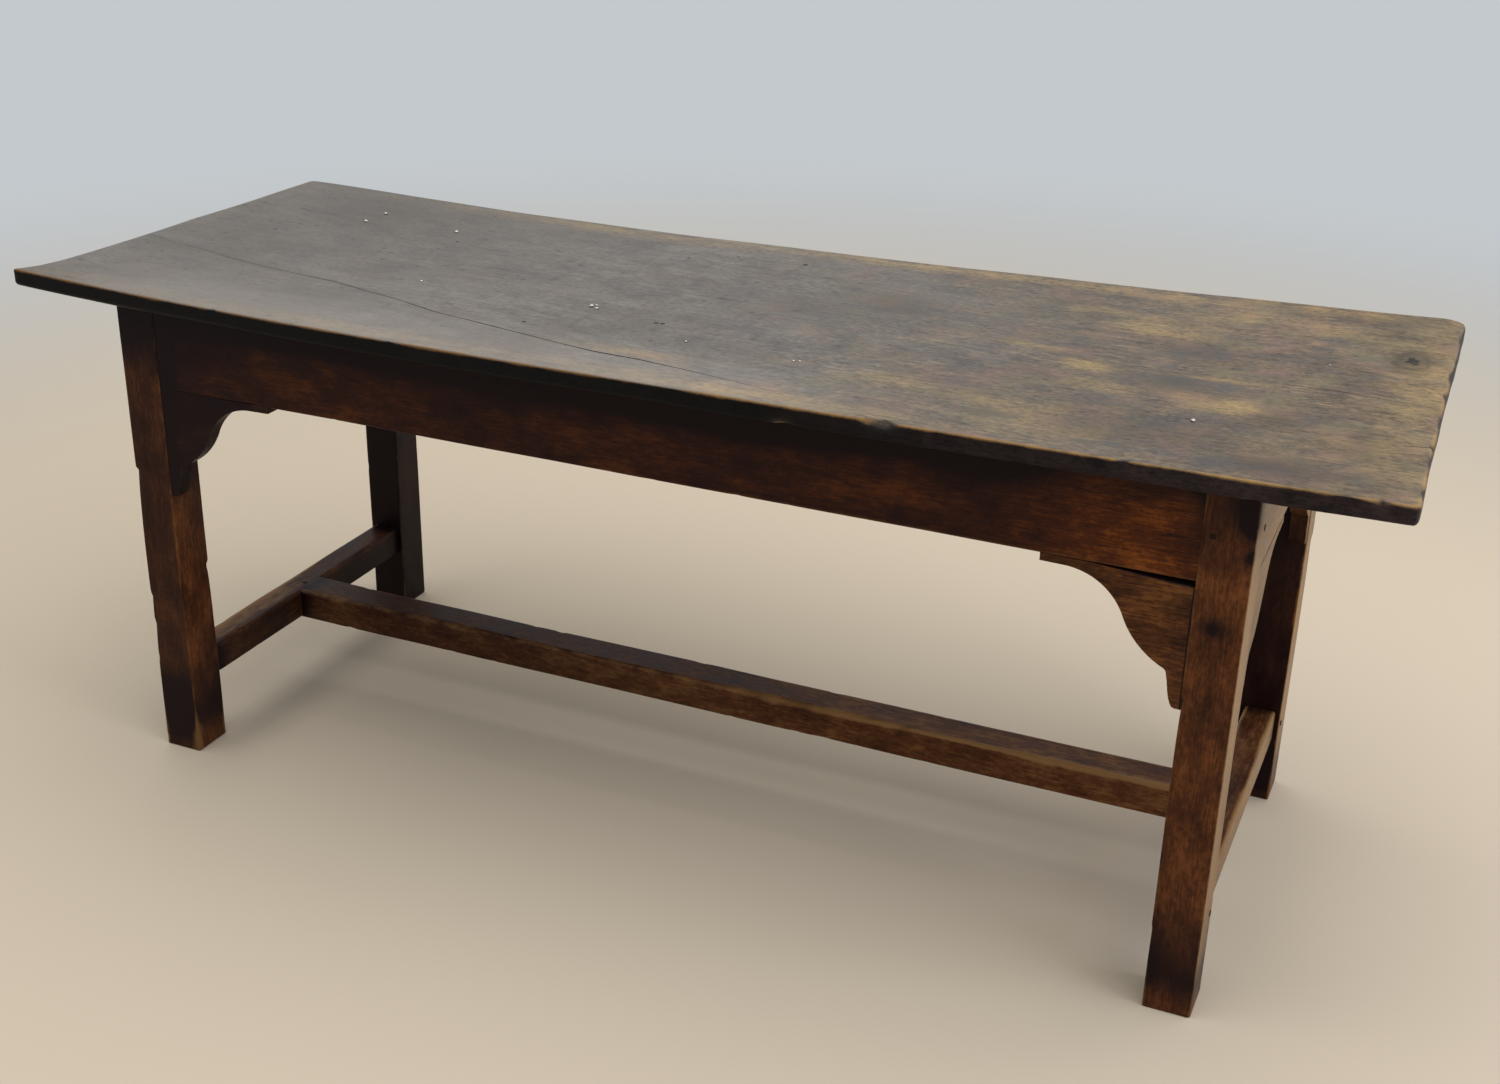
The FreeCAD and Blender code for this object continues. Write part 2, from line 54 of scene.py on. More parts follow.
# Slivers lost from a corner: its side in x and in y, the height where the split starts, and its depth
SLIVERS = {
    "front_left_leg": ((-1, -1, 0.468, 0.0030), (-1, -1, 0.262, 0.0020), (-1, -1, 0.215, 0.0022),
                       (1, 1, 0.300, 0.0020)),
    "front_right_leg": ((-1, -1, 0.452, 0.0025), (1, -1, 0.215, 0.0015), (-1, -1, 0.120, 0.0012)),
    "back_left_leg": ((1, -1, 0.330, 0.0020), (-1, 1, 0.210, 0.0020)),
    "back_right_leg": ((1, 1, 0.420, 0.0022), (-1, -1, 0.190, 0.0018)),
}
# How far a sliver runs down from its split, up from it, and in from the corner
SLIVER_DOWN, SLIVER_UP, SLIVER_IN = 0.045, 0.003, 0.009


def paint(code):
    """An sRGB hex colour as linear RGBA."""
    channels = [int(code[start:start + 2], 16) / 255 for start in (1, 3, 5)]
    return [c / 12.92 if c <= 0.04045 else ((c + 0.055) / 1.055) ** 2.4 for c in channels] + [1.0]


def fill(tree, made, inputs):
    """Sets or links a node's inputs, which are given by name or number, or in the node's own order."""
    named = inputs if isinstance(inputs, dict) else dict(enumerate(inputs))
    for name, value in named.items():
        if isinstance(value, bpy.types.NodeSocket):
            tree.links.new(value, made.inputs[name])
        else:
            made.inputs[name].default_value = value


def node(tree, kind, inputs=(), stops=(), out=0, **settings):
    """Adds a node with its settings, inputs and (place, hex) stops; gives one output, or all for None."""
    made = tree.nodes.new(kind)
    for name, value in settings.items():
        setattr(made, name, value)
    fill(tree, made, inputs)
    if stops:
        elements = made.color_ramp.elements
        elements[0].position, elements[1].position = stops[0][0], stops[-1][0]
        for place, code in stops[1:-1]:
            elements.new(place)
        for element, (place, code) in zip(elements, stops):
            element.color = paint(code)
    return made.outputs if out is None else made.outputs[out]


def drift(point, size_mm, seed):
    """Smooth noise from about -1 to 1, with bumps of that size."""
    shift = Vector((17.31, -9.17, 4.73)) * (seed + 0.37)
    return noise.noise(Vector(point) * (1000 / size_mm) + shift)


PLANED = 0.0004        # how far a hand plane leaves a face from flat
CORNER_GUARD = 0.0025        # a row of points this close to each corner keeps its wear narrow
CORNER_WEAR = (0.7, 0.9, 1.0, 0.9, 0.7)
WEAR_FADE = 0.003


def worn_bar(along, start, end, section, arris_mm, seed, spacing_mm=(6, 12), end_round_mm=2.0, nick_mm=9):
    """Points, faces and wear of a timber lofted along one axis, its faces planed, its corners rubbed.

    section(t) gives (centre, half size) on both cross axes at t. arris_mm goes round from the corner
    that is high on both of them.
    """
    cross = [axis for axis in range(3) if axis != along]
    ease = end_round_mm / 1000
    turns = [math.radians(angle) for angle in (0, 30, 60)]
    caps = [(ease * (1 - math.cos(a)), ease * (1 - math.sin(a))) for a in turns]
    count = round((end - start - 2 * ease) * 1000 / spacing_mm[0])
    stations = [(start + inward, inset) for inward, inset in caps]
    stations += [(t, 0) for t in np.linspace(start + ease, end - ease, count + 1)]
    stations += [(end - inward, inset) for inward, inset in reversed(caps)]
    middle = section((start + end) / 2)
    runs = [max(2, round(2000 * middle[axis][1] / spacing_mm[1])) for axis in (0, 1, 0, 1)]
    signs = ((1, 1), (-1, 1), (-1, -1), (1, -1))
    outwards = ((0, 1), (-1, 0), (0, -1), (1, 0))

    points, wear, rings = [], [], []
    for t, inset in stations:
        (mid_a, half_a), (mid_b, half_b) = section(t)
        half_a, half_b = half_a - inset, half_b - inset
        arcs = []
        for corner, radius_mm in enumerate(arris_mm):
            # Hands and feet rub a corner in stretches of 150 mm, and the hardest knocks leave nicks
            rub = 0.85 + 0.6 * drift((t, corner, 0), 150, seed)
            nick = nick_mm * max(0.0, drift((t, 0, corner), 24, seed + 5) - 0.38)
            radius = min((radius_mm * rub + nick) / 1000, 0.8 * min(half_a, half_b))
            at_a = signs[corner][0] * (half_a - radius)
            at_b = signs[corner][1] * (half_b - radius)
            bearings = [math.radians(90 * corner + 22.5 * step) for step in range(len(CORNER_WEAR))]
            arcs.append([(at_a + radius * math.cos(b), at_b + radius * math.sin(b)) for b in bearings])
        ring = []
        for corner, arc in enumerate(arcs):
            ring += arc
            wear += CORNER_WEAR
            (a0, b0), (a1, b1) = arc[-1], arcs[(corner + 1) % 4][0]
            width = math.dist((a0, b0), (a1, b1))
            close = min(0.3, CORNER_GUARD / width)
            for share in (close, *np.linspace(0, 1, runs[corner] + 1)[1:-1], 1 - close):
                a, b = a0 + share * (a1 - a0), b0 + share * (b1 - b0)
                planed = PLANED * min(1, 8 * share, 8 - 8 * share) * drift((0.3 * t, a, b), 60, seed + 9)
                ring.append((a + planed * outwards[corner][0], b + planed * outwards[corner][1]))
                wear.append(CORNER_WEAR[0] * math.exp(-width * min(share, 1 - share) / WEAR_FADE))
        rings.append(range(len(points), len(points) + len(ring)))
        for a, b in ring:
            point = [0.0, 0.0, 0.0]
            point[along], point[cross[0]], point[cross[1]] = t, mid_a + a, mid_b + b
            points.append(point)

    faces = []
    # Points on a long side with its two corners, and on a short side between corners
    side, flank = runs[0] + 1 + 2 * len(CORNER_WEAR), runs[1] + 1
    for ring in (rings[0], rings[-1]):
        upper, left = list(ring[:side]), list(ring[side:side + flank])
        lower, right = list(ring[side + flank:2 * side + flank])[::-1], list(ring[2 * side + flank:])
        strips = [[upper[i], upper[i + 1], lower[i + 1], lower[i]] for i in range(side - 1)]
        strips[0] += right
        strips[-1][2:2] = left
        faces += [tuple(strip) for strip in strips]
    for near, far in zip(rings, rings[1:]):
        size = len(near)
        faces += [(near[i], near[(i + 1) % size], far[(i + 1) % size], far[i]) for i in range(size)]
    return points, faces, wear


def smooth_step(low, high, value):
    """From 0 at low to 1 at high, eased at both."""
    share = min(1, max(0, (value - low) / (high - low)))
    return share * share * (3 - 2 * share)


SOOT_AND_SHADE_THIN = (0.48, 0.72)
RIGHT_END = 0.8
SHEEN_SKIN = (0.0014, 0.0008)
SHEEN_THINS_GRIME_AND_SHADE = 0.6


def soot_and_shade_to_left(x):
    """How dark the frame is along its length: its left end, which stood nearest the hearth, is darker,
    partly from soot and partly by painted shade.
    """
    return 1 - smooth_step(*SOOT_AND_SHADE_THIN, x)


def painted_window_sheen(points):
    """How far each point gets a painted sheen: the outer faces at the right end, which stood towards a
    window, are painted paler as if light glanced off them.
    """
    outer = max(x for x, y, z in points)
    if outer < RIGHT_END:
        return [0.0] * len(points)
    skin = [outer - depth for depth in SHEEN_SKIN]
    return [smooth_step(*skin, x) * smooth_step(0.02, 0.1, z) for x, y, z in points]


def closed_mesh(name, points, faces):
    """A mesh with all its faces turned outwards."""
    mesh = bpy.data.meshes.new(name)
    mesh.from_pydata(points, [], faces)
    shell = bmesh.new()
    shell.from_mesh(mesh)
    bmesh.ops.recalc_face_normals(shell, faces=shell.faces)
    shell.to_mesh(mesh)
    shell.free()
    return mesh


def mark_use(mesh, marks):
    """Keeps the marks of use as point attributes, and shades all but the sharp edges smooth."""
    for mark, values in marks.items():
        mesh.attributes.new(mark, "FLOAT", "POINT").data.foreach_set("value", values)
    mesh.shade_smooth()
    mesh.set_sharp_from_angle(angle=math.radians(45))


def placed(name, data):
    """A new object in the scene, at the origin."""
    made = bpy.data.objects.new(name, data)
    bpy.context.scene.collection.objects.link(made)
    return made


def timber(cad_node, form, points, faces, wear, grime_and_shade, soot_and_shade_share, material):
    """A finished piece of the frame that stands for its CAD node."""
    name = f"{cad_node}_{form}"
    mesh = closed_mesh(name, points, faces)
    window_sheen = painted_window_sheen(points)
    # Soot and painted shade darken the frame towards the left; faces with the painted window sheen keep
    # less of them
    grime_and_shade = [(g + soot_and_shade_share * soot_and_shade_to_left(point[0])) * (1 - SHEEN_THINS_GRIME_AND_SHADE * b)
             for g, point, b in zip(grime_and_shade, points, window_sheen)]
    mark_use(mesh, {"wear": wear, "grime_and_shade": grime_and_shade, "window_sheen": window_sheen})
    mesh.materials.append(material)
    piece = placed(name, mesh)
    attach(piece, "root")
    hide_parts(cad_node)


GRAIN_ALONG_X = (0, 0, 0)
GRAIN_ALONG_Y = (0, 0, -math.pi / 2)
GRAIN_ALONG_Z = (0, math.pi / 2, 0)


def new_material(name):
    """A material, its node tree and its shader."""
    material = bpy.data.materials.new(name)
    material.use_nodes = True
    return material, material.node_tree, material.node_tree.nodes["Principled BSDF"]


def waxed_oak(name, turn, tones, worn, rub, grain, seed):
    """Oak stained dark and waxed for generations: cloudy brown, soft grain, soot and painted shade, a
    painted sheen on faces towards the window, pale corners.

    tones are its darkest, usual and lightest colours, rub is how far the corners are worn through to
    the worn colour, and grain is how plainly the lines show.
    """
    material, tree, shader = new_material(name)
    place = node(tree, "ShaderNodeTexCoord", out="Object")
    turned = node(tree, "ShaderNodeMapping", {
        "Vector": place, "Rotation": turn, "Location": (0.31 * seed, 0.17 * seed, 0.23 * seed)})
    fibre, board = (node(tree, "ShaderNodeMapping", {"Vector": turned, "Scale": (stretch, 1, 1)})
                    for stretch in (0.07, 0.5))

    # Clouds of stain 120 mm wide, blots of 30 mm, and crumbs of 6 mm where the surface is bruised.
    # Oak's pores are a quarter of a millimetre wide, and are drawn 2.5 mm wide so that they show.
    clouds, blots, crumbs, pores = (
        node(tree, "ShaderNodeTexNoise", {
            "Vector": lie, "Scale": 1000 / size_mm, "Detail": detail, "Roughness": roughness})
        for lie, size_mm, detail, roughness in (
            (board, 120, 3, 0.5), (board, 30, 5, 0.65), (board, 6, 3, 0.7), (fibre, 2.5, 2, 0.6)))
    shares = ((clouds, 0.35), (blots, 0.5), (crumbs, 0.4), (pores, 0.35 * grain))
    tone = 0.5 * (1 - sum(share for layer, share in shares))
    for layer, share in shares:
        tone = node(tree, "ShaderNodeMath", (layer, share, tone), operation="MULTIPLY_ADD")
    colour = node(tree, "ShaderNodeValToRGB", (tone,), tuple(zip((0.32, 0.5, 0.68), tones)))

    # Over the wood lie a painted sheen on the faces towards the window, soot, old wax and painted shade,
    # and last the rubbed corners
    wear, grime_and_shade, window_sheen = (node(tree, "ShaderNodeAttribute", out="Fac", attribute_name=mark)
                           for mark in ("wear", "grime_and_shade", "window_sheen"))
    # Painted sheen: faces towards the window are painted paler, most where the wood is light
    faded = node(tree, "ShaderNodeMapRange", (tone, 0.36, 0.62, 0.45, 1.0))
    faded = node(tree, "ShaderNodeMath", (window_sheen, faded), operation="MULTIPLY")
    patchy = node(tree, "ShaderNodeMapRange", (clouds, 0.3, 0.7, 1.14, 0.82))
    sooty_and_shaded = node(tree, "ShaderNodeMath", (grime_and_shade, patchy), operation="MULTIPLY", use_clamp=True)
    rubbed = node(tree, "ShaderNodeMath", (blots, 1.4, wear), operation="MULTIPLY_ADD")
    rubbed = node(tree, "ShaderNodeMapRange", (rubbed, 1.15, 1.7, 0.0, rub))
    # The soot colour is dark purple: soot and painted shade, its purple tint a painted reflection of cool
    # light
    for share, code in ((faded, "#a4825d"), (sooty_and_shaded, "#1a0c0f"), (rubbed, worn)):
        colour = node(tree, "ShaderNodeMix", {0: share, 6: colour, 7: paint(code)}, out=2, data_type="RGBA")

    roughness = node(tree, "ShaderNodeMapRange", (blots, 0.3, 0.7, 0.3, 0.5))
    height = node(tree, "ShaderNodeMath", (crumbs, 0.8, pores), operation="MULTIPLY_ADD")
    bump = node(tree, "ShaderNodeBump", {"Height": height, "Strength": 0.35, "Distance": 0.0007})
    fill(tree, shader, {
        "Base Color": colour, "Roughness": roughness, "Normal": bump, "Specular IOR Level": 0.1})
    return material


# Quartered oak: fine straight grain and even stain, a warm red brown where soot and painted shade let it
# show
leg_oak = waxed_oak(
    "quartered oak, leg", GRAIN_ALONG_Z, ("#2c150b", "#553019", "#7e4a27"), "#94703f", 0.45, 0.9, 1)
LEG_SOOT_AND_SHADE = 0.66
# Painted shade: the back legs stand in the table's shadow, and all but their outer faces are painted darker
PAINTED_BACK_LEG_SHADE = {"back_left_leg": 0.4, "back_right_leg": 0.9}
FOOT_WEAR = {"front_left_leg": 1.2}
# Marks on the front right leg, as (place, radius, strength): the first four are ink or oil that has soaked
# into its front face; the last three darken the top of its outer face, painted shade of the plank
LEG_STAINS_AND_SHADE = {"front_right_leg": (
    ((0.781, -0.327, 0.551), 0.012, 1.0), ((0.772, -0.327, 0.556), 0.014, 0.5),
    ((0.779, -0.327, 0.30), 0.02, 0.4), ((0.795, -0.327, 0.46), 0.02, 0.35),
    ((0.816, -0.32, 0.72), 0.02, 2.6), ((0.816, -0.322, 0.69), 0.016, 2.2),
    ((0.816, -0.326, 0.65), 0.01, 1.6))}
SKIN = 0.002
for number, leg in enumerate(LEG_NODES):
    low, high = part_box(leg)
    centre, half = (low + high) / 2, (high - low) / 2
    sides = ((centre.x, half.x), (centre.y, half.y))
    points, faces, wear = worn_bar(
        2, low.z, high.z + LEG_INTO_PLANK, lambda t: sides, [LEG_ARRIS_MM] * 4, 10 + number,
        end_round_mm=LEG_END_ROUND_MM)
    for point in points:
        for side_x, side_y, split, depth in SLIVERS[leg]:
            from_corner = half.x - side_x * (point[0] - centre.x) + half.y - side_y * (point[1] - centre.y)
            below = split - point[2]
            lost = math.exp(-below / SLIVER_DOWN) if below > 0 else math.exp(-(below / SLIVER_UP) ** 2)
            lost *= depth * math.exp(-from_corner / SLIVER_IN)
            point[0] -= side_x * lost
            point[1] -= side_y * lost
    outer_x, outer_y = max(high.x, -low.x) - SKIN, high.y - SKIN
    inner_x = centre.x + 0.93 * half.x
    grime_and_shade = []
    for index, (x, y, z) in enumerate(points):
        # Mops and shoes leave a black band above the foot; under the plank the leg is painted darker,
        # painted shade of the plank
        dirt_and_shade = 0.8 * smooth_step(0.17, 0.06, z) * smooth_step(-0.005, 0.055, z)
        dirt_and_shade += 0.6 * smooth_step(0.6, 0.72, z)
        # Painted shade on the back legs, on all but their outer faces
        if abs(x) <= outer_x and y <= outer_y:
            dirt_and_shade += PAINTED_BACK_LEG_SHADE.get(leg, 0.0)
        wear[index] *= 0.6 + FOOT_WEAR.get(leg, 0.3) * smooth_step(0.08, 0.0, z)
        if leg == "front_right_leg":
            dirt_and_shade += 0.3 * smooth_step(0.36, 0.12, z)
        if leg == "front_left_leg":
            # This face is painted lighter below the bracket, painted light from the right, and left darker
            # beside the bracket, painted shade; the foot's corner is scuffed
            dirt_and_shade -= 0.45 * smooth_step(inner_x - SKIN, inner_x, x) * smooth_step(0.46, 0.42, z)
            wear[index] += 0.6 * math.exp(-(high.x - x + y - low.y) / 0.03) * smooth_step(0.1, 0.0, z)
        for spot, radius, strength in LEG_STAINS_AND_SHADE.get(leg, ()):
            dirt_and_shade += strength * math.exp(-(math.dist((x, y, z), spot) / radius) ** 2)
        grime_and_shade.append(dirt_and_shade)
    timber(leg, "timber", points, faces, wear, grime_and_shade, LEG_SOOT_AND_SHADE, leg_oak)


# Rails: four oak boards on edge, an inch thick, tenoned into the legs just below the plank.
# The plank has sagged and curled over the centuries, and their upper edges are planed to meet it.
# Hands have polished the faces; soot and old wax stay beside the legs, and under the overhang the rails are
# painted darker, painted shade of the plank.
RAIL_INTO_LEG = 0.006
RAIL_INTO_PLANK = 0.002
RAIL_ARRIS_MM = (2.0, 2.0, 3.0, 3.0)
RAIL_SOOT_AND_SHADE = (0.72, 0.52)
JOINT_DIRT = 0.05        # how far dirt spreads along a timber from its joint
LIFT_LENGTH, LIFT_WIDTH = 0.978, 0.357        # the half sizes over which the plank's lift is given


def plank_lift(x, y):
    """How far the plank stands above or below its true plane at a point of the plan, in metres."""
    u, v = x / LIFT_LENGTH, y / LIFT_WIDTH
    lift_mm = (-13.3 + 5.5 * u - 2.3 * v + 9.6 * u * u + 1.7 * u * v + 6.5 * v * v
               - 7.8 * u ** 3 + 3.2 * u * u * v + 4.8 * u ** 4)
    inside = max(0, 1 - u * u) * max(0, 1 - v * v)
    return (lift_mm + 5 * inside * inside) / 1000


# Plain sawn oak: grain lines along the board, redder than the legs where hands keep it polished
RAIL_TONES = ("#2f150b", "#592c11", "#8b4d1b")
rail_oak = waxed_oak("plain sawn oak, long rail", GRAIN_ALONG_X, RAIL_TONES, "#7a5230", 0.4, 1.0, 2)
end_rail_oak = waxed_oak("plain sawn oak, end rail", GRAIN_ALONG_Y, RAIL_TONES, "#7a5230", 0.4, 1.0, 3)
RAILS = {
    "front_rail": (0, rail_oak), "back_rail": (0, rail_oak),
    "left_end_rail": (1, end_rail_oak), "right_end_rail": (1, end_rail_oak),
}
leg_low, leg_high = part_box("front_right_leg")
SHOULDER = {0: leg_low.x, 1: -leg_high.y}
for number, (rail, (along, material)) in enumerate(RAILS.items()):
    low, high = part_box(rail)
    across = 1 - along
    thick = ((low[across] + high[across]) / 2, (high[across] - low[across]) / 2)

    def rail_section(t):
        spot = (t, thick[0]) if along == 0 else (thick[0], t)
        top = high.z + plank_lift(*spot) + RAIL_INTO_PLANK
        return thick, ((top + low.z) / 2, (top - low.z) / 2)

    reach = SHOULDER[along] + RAIL_INTO_LEG
    points, faces, wear = worn_bar(
        along, -reach, reach, rail_section, RAIL_ARRIS_MM, 20 + number, spacing_mm=(8, 12))
    grime_and_shade = []
    for index, point in enumerate(points):
        x, y, z = point
        wear[index] *= 0.3 + 0.7 * smooth_step(-0.6, 0.2, x)
        # Painted shade of the plank: darker towards the top, under the overhang
        dirt_and_shade = 0.6 * smooth_step(0.67, 0.73, z)
        dirt_and_shade += 0.6 * smooth_step(reach - JOINT_DIRT, reach, abs(point[along]))
        if along == 0:
            dirt_and_shade += 0.1 * smooth_step(-0.35, -0.7, x) + 0.1 * math.exp(-((x - 0.12) / 0.25) ** 2)
        grime_and_shade.append(dirt_and_shade)
    timber(rail, "timber", points, faces, wear, grime_and_shade, RAIL_SOOT_AND_SHADE[along], material)


# Brackets: eight ogee boards sawn out with a bow saw and fitted in the corners under the rails.
# A stub tongue holds each in its leg. The one at the front right has shrunk, and a dark wedge is open
# above its front face. Their flat faces show level grain; the sawn edges are softened by handling.
BRACKET_BEVEL = 0.0016
BRACKET_GRIP_MM = 2
BRACKET_GRID = 0.012
BRACKET_GAP_MM = 124
BRACKET_SHRUNK_MM = 9
BRACKET_SOOT_AND_SHADE = 0.5
# How much darker each set of brackets is: at the right end this is painted shade, as they stand in the
# table's shadow; at the front left and the left end they are darker as listed
BRACKET_DIRT_AND_SHADE = {"front_left": 0.4, "right_end": 0.6, "left_end": 0.1}
SEAM_DIRT = (0.0009, 0.002)        # the black line where a bracket meets its leg
ON_FACE = 1e-5
# Sawn oak: plainer, coarser lines than the planed rails and a duller brown
BRACKET_TONES = ("#2d170c", "#57331a", "#83542c")
bracket_oak = waxed_oak("sawn oak, long bracket", GRAIN_ALONG_X, BRACKET_TONES, "#86603a", 0.5, 1.2, 4)
end_bracket_oak = waxed_oak("sawn oak, end bracket", GRAIN_ALONG_Y, BRACKET_TONES, "#86603a", 0.5, 1.2, 5)


def ogee(shrunk_mm):
    """The bracket's outline in millimetres, from its tip: across from the leg, and down from the rail."""
    length, drop, tip, lip = 188, 171, 10, 29
    cove, ovolo, tail, tail_height = 85, 113, 20.5, 49
    toe = ((19.2, 136), (17.2, 149), (15.0, 159), (12.8, 166), (10.4, 169.5), (7.0, 171))
    heel = (tail, tail_height - drop)
    cove_at = (length - lip, -tip - cove)
    reach, span = math.dist(cove_at, heel), cove + ovolo
    spread = math.acos((span ** 2 + reach ** 2 - ovolo ** 2) / (2 * span * reach))
    bend = math.atan2(heel[1] - cove_at[1], heel[0] - cove_at[0]) - spread
    ovolo_at = (cove_at[0] + span * math.cos(bend), cove_at[1] + span * math.sin(bend))
    heel_turn = math.atan2(heel[1] - ovolo_at[1], heel[0] - ovolo_at[0])
    outline = [(length, 0), (length, -tip)]
    for centre, radius, first, last, steps in (
            (cove_at, cove, math.pi / 2, bend % (2 * math.pi), 22),
            (ovolo_at, ovolo, (bend - math.pi) % (2 * math.pi), heel_turn % (2 * math.pi), 18)):
        for angle in np.linspace(first, last, steps + 1):
            outline.append((centre[0] + radius * math.cos(angle), centre[1] + radius * math.sin(angle)))
    outline += [(u, -w) for u, w in toe]
    outline.append((-BRACKET_GRIP_MM, -drop))
    outline += [(-BRACKET_GRIP_MM, -shrunk_mm), (BRACKET_GAP_MM, 0)]
    return outline


rail_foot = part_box("front_rail")[0].z
BRACKETS = [(f"{end}_{side}_bracket", 0, side == "right")
            for side in ("left", "right") for end in ("front", "back")]
BRACKETS += [(f"{side}_end_{end}_bracket", 1, end == "back")
             for side in ("left", "right") for end in ("front", "back")]
for number, (bracket, along, positive) in enumerate(BRACKETS):
    low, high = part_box(bracket)
    across = 1 - along
    sign = 1 if positive else -1
    rim = []
    for face in (low[across], high[across]):
        shrunk_mm = BRACKET_SHRUNK_MM if bracket == "front_right_bracket" and face == low[across] else 0
        for u, w in ogee(shrunk_mm):
            point = [0.0, 0.0, rail_foot + w / 1000]
            point[along] = sign * (SHOULDER[along] - u / 1000)
            point[across] = face
            rim.append(point)
    size = len(rim) // 2
    sheets = [tuple(range(size)), tuple(reversed(range(size, 2 * size)))]
    sheets += [(i, (i + 1) % size, size + (i + 1) % size, size + i) for i in range(size)]
    board = bmesh.new()
    corners = [board.verts.new(point) for point in rim]
    for sheet in sheets:
        board.faces.new([corners[i] for i in sheet])
    edges = [e for e in board.edges if abs(e.verts[0].co[across] - e.verts[1].co[across]) < 1e-6]
    bmesh.ops.bevel(board, geom=edges, offset=BRACKET_BEVEL, segments=3, profile=0.5, affect="EDGES")
    for axis in (along, 2):
        start = low[axis] + 0.5 * BRACKET_GRID
        beside_leg = [sign * (SHOULDER[along] - gap) for gap in SEAM_DIRT] if axis == along else []
        for cut in (*np.arange(start, high[axis], BRACKET_GRID), *beside_leg):
            plane = Vector([cut if i == axis else 0.0 for i in range(3)])
            normal = Vector([1.0 if i == axis else 0.0 for i in range(3)])
            parts = board.verts[:] + board.edges[:] + board.faces[:]
            bmesh.ops.bisect_plane(board, geom=parts, plane_co=plane, plane_no=normal, dist=1e-5)
    board.verts.index_update()
    points = [list(v.co) for v in board.verts]
    faces = [tuple(v.index for v in f.verts) for f in board.faces]
    board.free()
    wear, grime_and_shade = [], []
    soil_and_shade = next((dirt_and_shade for start, dirt_and_shade in BRACKET_DIRT_AND_SHADE.items() if bracket.startswith(start)), 0.0)
    for point in points:
        depth = min(point[across] - low[across], high[across] - point[across])
        wear.append(0.6 if 0.1 * BRACKET_BEVEL < depth < 0.9 * BRACKET_BEVEL else 0.1)
        from_leg = SHOULDER[along] - sign * point[along]
        dirt_and_shade = soil_and_shade + 0.3 * smooth_step(0.03, 0.0, from_leg)
        dirt_and_shade += 0.8 * smooth_step(*SEAM_DIRT[::-1], from_leg)
        # Painted shade: the sloping top of the shrunken bracket, inside the wedge under the rail, is
        # painted black
        if bracket == "front_right_bracket" and depth > ON_FACE and from_leg < BRACKET_GAP_MM / 1000:
            dirt_and_shade += 1.2 * smooth_step(0.012, 0.01, rail_foot - point[2])
        grime_and_shade.append(dirt_and_shade)
        if depth < ON_FACE:
            outward = 1 if point[across] > (low[across] + high[across]) / 2 else -1
            point[across] += outward * PLANED * drift(point, 45, 40 + number)
    material = (bracket_oak, end_bracket_oak)[along]
    timber(bracket, "board", points, faces, wear, grime_and_shade, BRACKET_SOOT_AND_SHADE, material)


# Stretchers: three low oak bars in an H, tenoned into the legs and into each other.
# Feet have rested on them for centuries: the upper corners are rubbed round, and pale where feet reach
# most, and the tops are grey.
STRETCHER_INTO = 0.006
STRETCHER_SOOT_AND_SHADE = (0.0, 0.5)
TREAD = 0.003        # the depth of the upper face that shoes rub
# Foot-worn oak: a plain brown, rubbed through to tan wood at the corners
STRETCHER_TONES = ("#321a0e", "#5e3820", "#885e38")
stretcher_oak = waxed_oak(
    "worn oak, centre stretcher", GRAIN_ALONG_X, STRETCHER_TONES, "#9a7449", 0.85, 1.0, 6)
end_stretcher_oak = waxed_oak(
    "worn oak, end stretcher", GRAIN_ALONG_Y, STRETCHER_TONES, "#9a7449", 0.85, 1.0, 7)
STRETCHERS = {
    "centre_stretcher": (0, stretcher_oak, (5.5, 8.0, 2.5, 2.5)),
    "left_end_stretcher": (1, end_stretcher_oak, (5.0, 5.0, 2.5, 2.5)),
    "right_end_stretcher": (1, end_stretcher_oak, (5.0, 5.0, 2.5, 2.5)),
}
for number, (stretcher, (along, material, arrises)) in enumerate(STRETCHERS.items()):
    low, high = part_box(stretcher)
    across = 1 - along
    shape = [((low[axis] + high[axis]) / 2, (high[axis] - low[axis]) / 2) for axis in (across, 2)]
    reach = STRETCHER_INTO + (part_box("right_end_stretcher")[0].x if along == 0 else SHOULDER[1])
    points, faces, wear = worn_bar(
        along, -reach, reach, lambda t: shape, arrises, 30 + number, spacing_mm=(7, 8))
    grime_and_shade = []
    for index, point in enumerate(points):
        x, y, z = point
        on_top = z > high.z - TREAD
        wear[index] *= 1.1 if z > shape[1][0] else 0.5
        dirt_and_shade = 0.6 * smooth_step(reach - JOINT_DIRT, reach, abs(point[along]))
        if along == 0:
            # Darker towards the left, partly soot and partly painted shade; feet rub most at the right,
            # over the front corner and on to the upper face
            dirt_and_shade += 0.5 * smooth_step(0.4, -0.4, x)
            wear[index] *= 0.52 + 0.48 * smooth_step(-0.3, 0.45, x)
            wear[index] += 0.5 * smooth_step(0.3, 0.6, x) * smooth_step(0.0, -0.016, y) * on_top
        elif stretcher == "right_end_stretcher":
            dirt_and_shade += 0.3
        else:
            # The upper face is trodden at the front; the inner corner, out of the feet's way, is still
            # dark. Its faces below the top are darker, and it is painted darker towards the back: painted
            # shade of the back legs
            wear[index] += 0.7 * smooth_step(0.08, -0.06, y) * on_top
            wear[index] *= smooth_step(high.x - 0.005, high.x - 0.014, x)
            dirt_and_shade += 0.25 * smooth_step(0.004, 0.008, high.z - z) + 0.25 * smooth_step(-0.05, 0.15, y)
        grime_and_shade.append(dirt_and_shade)
    timber(stretcher, "bar", points, faces, wear, grime_and_shade, STRETCHER_SOOT_AND_SHADE[along], material)


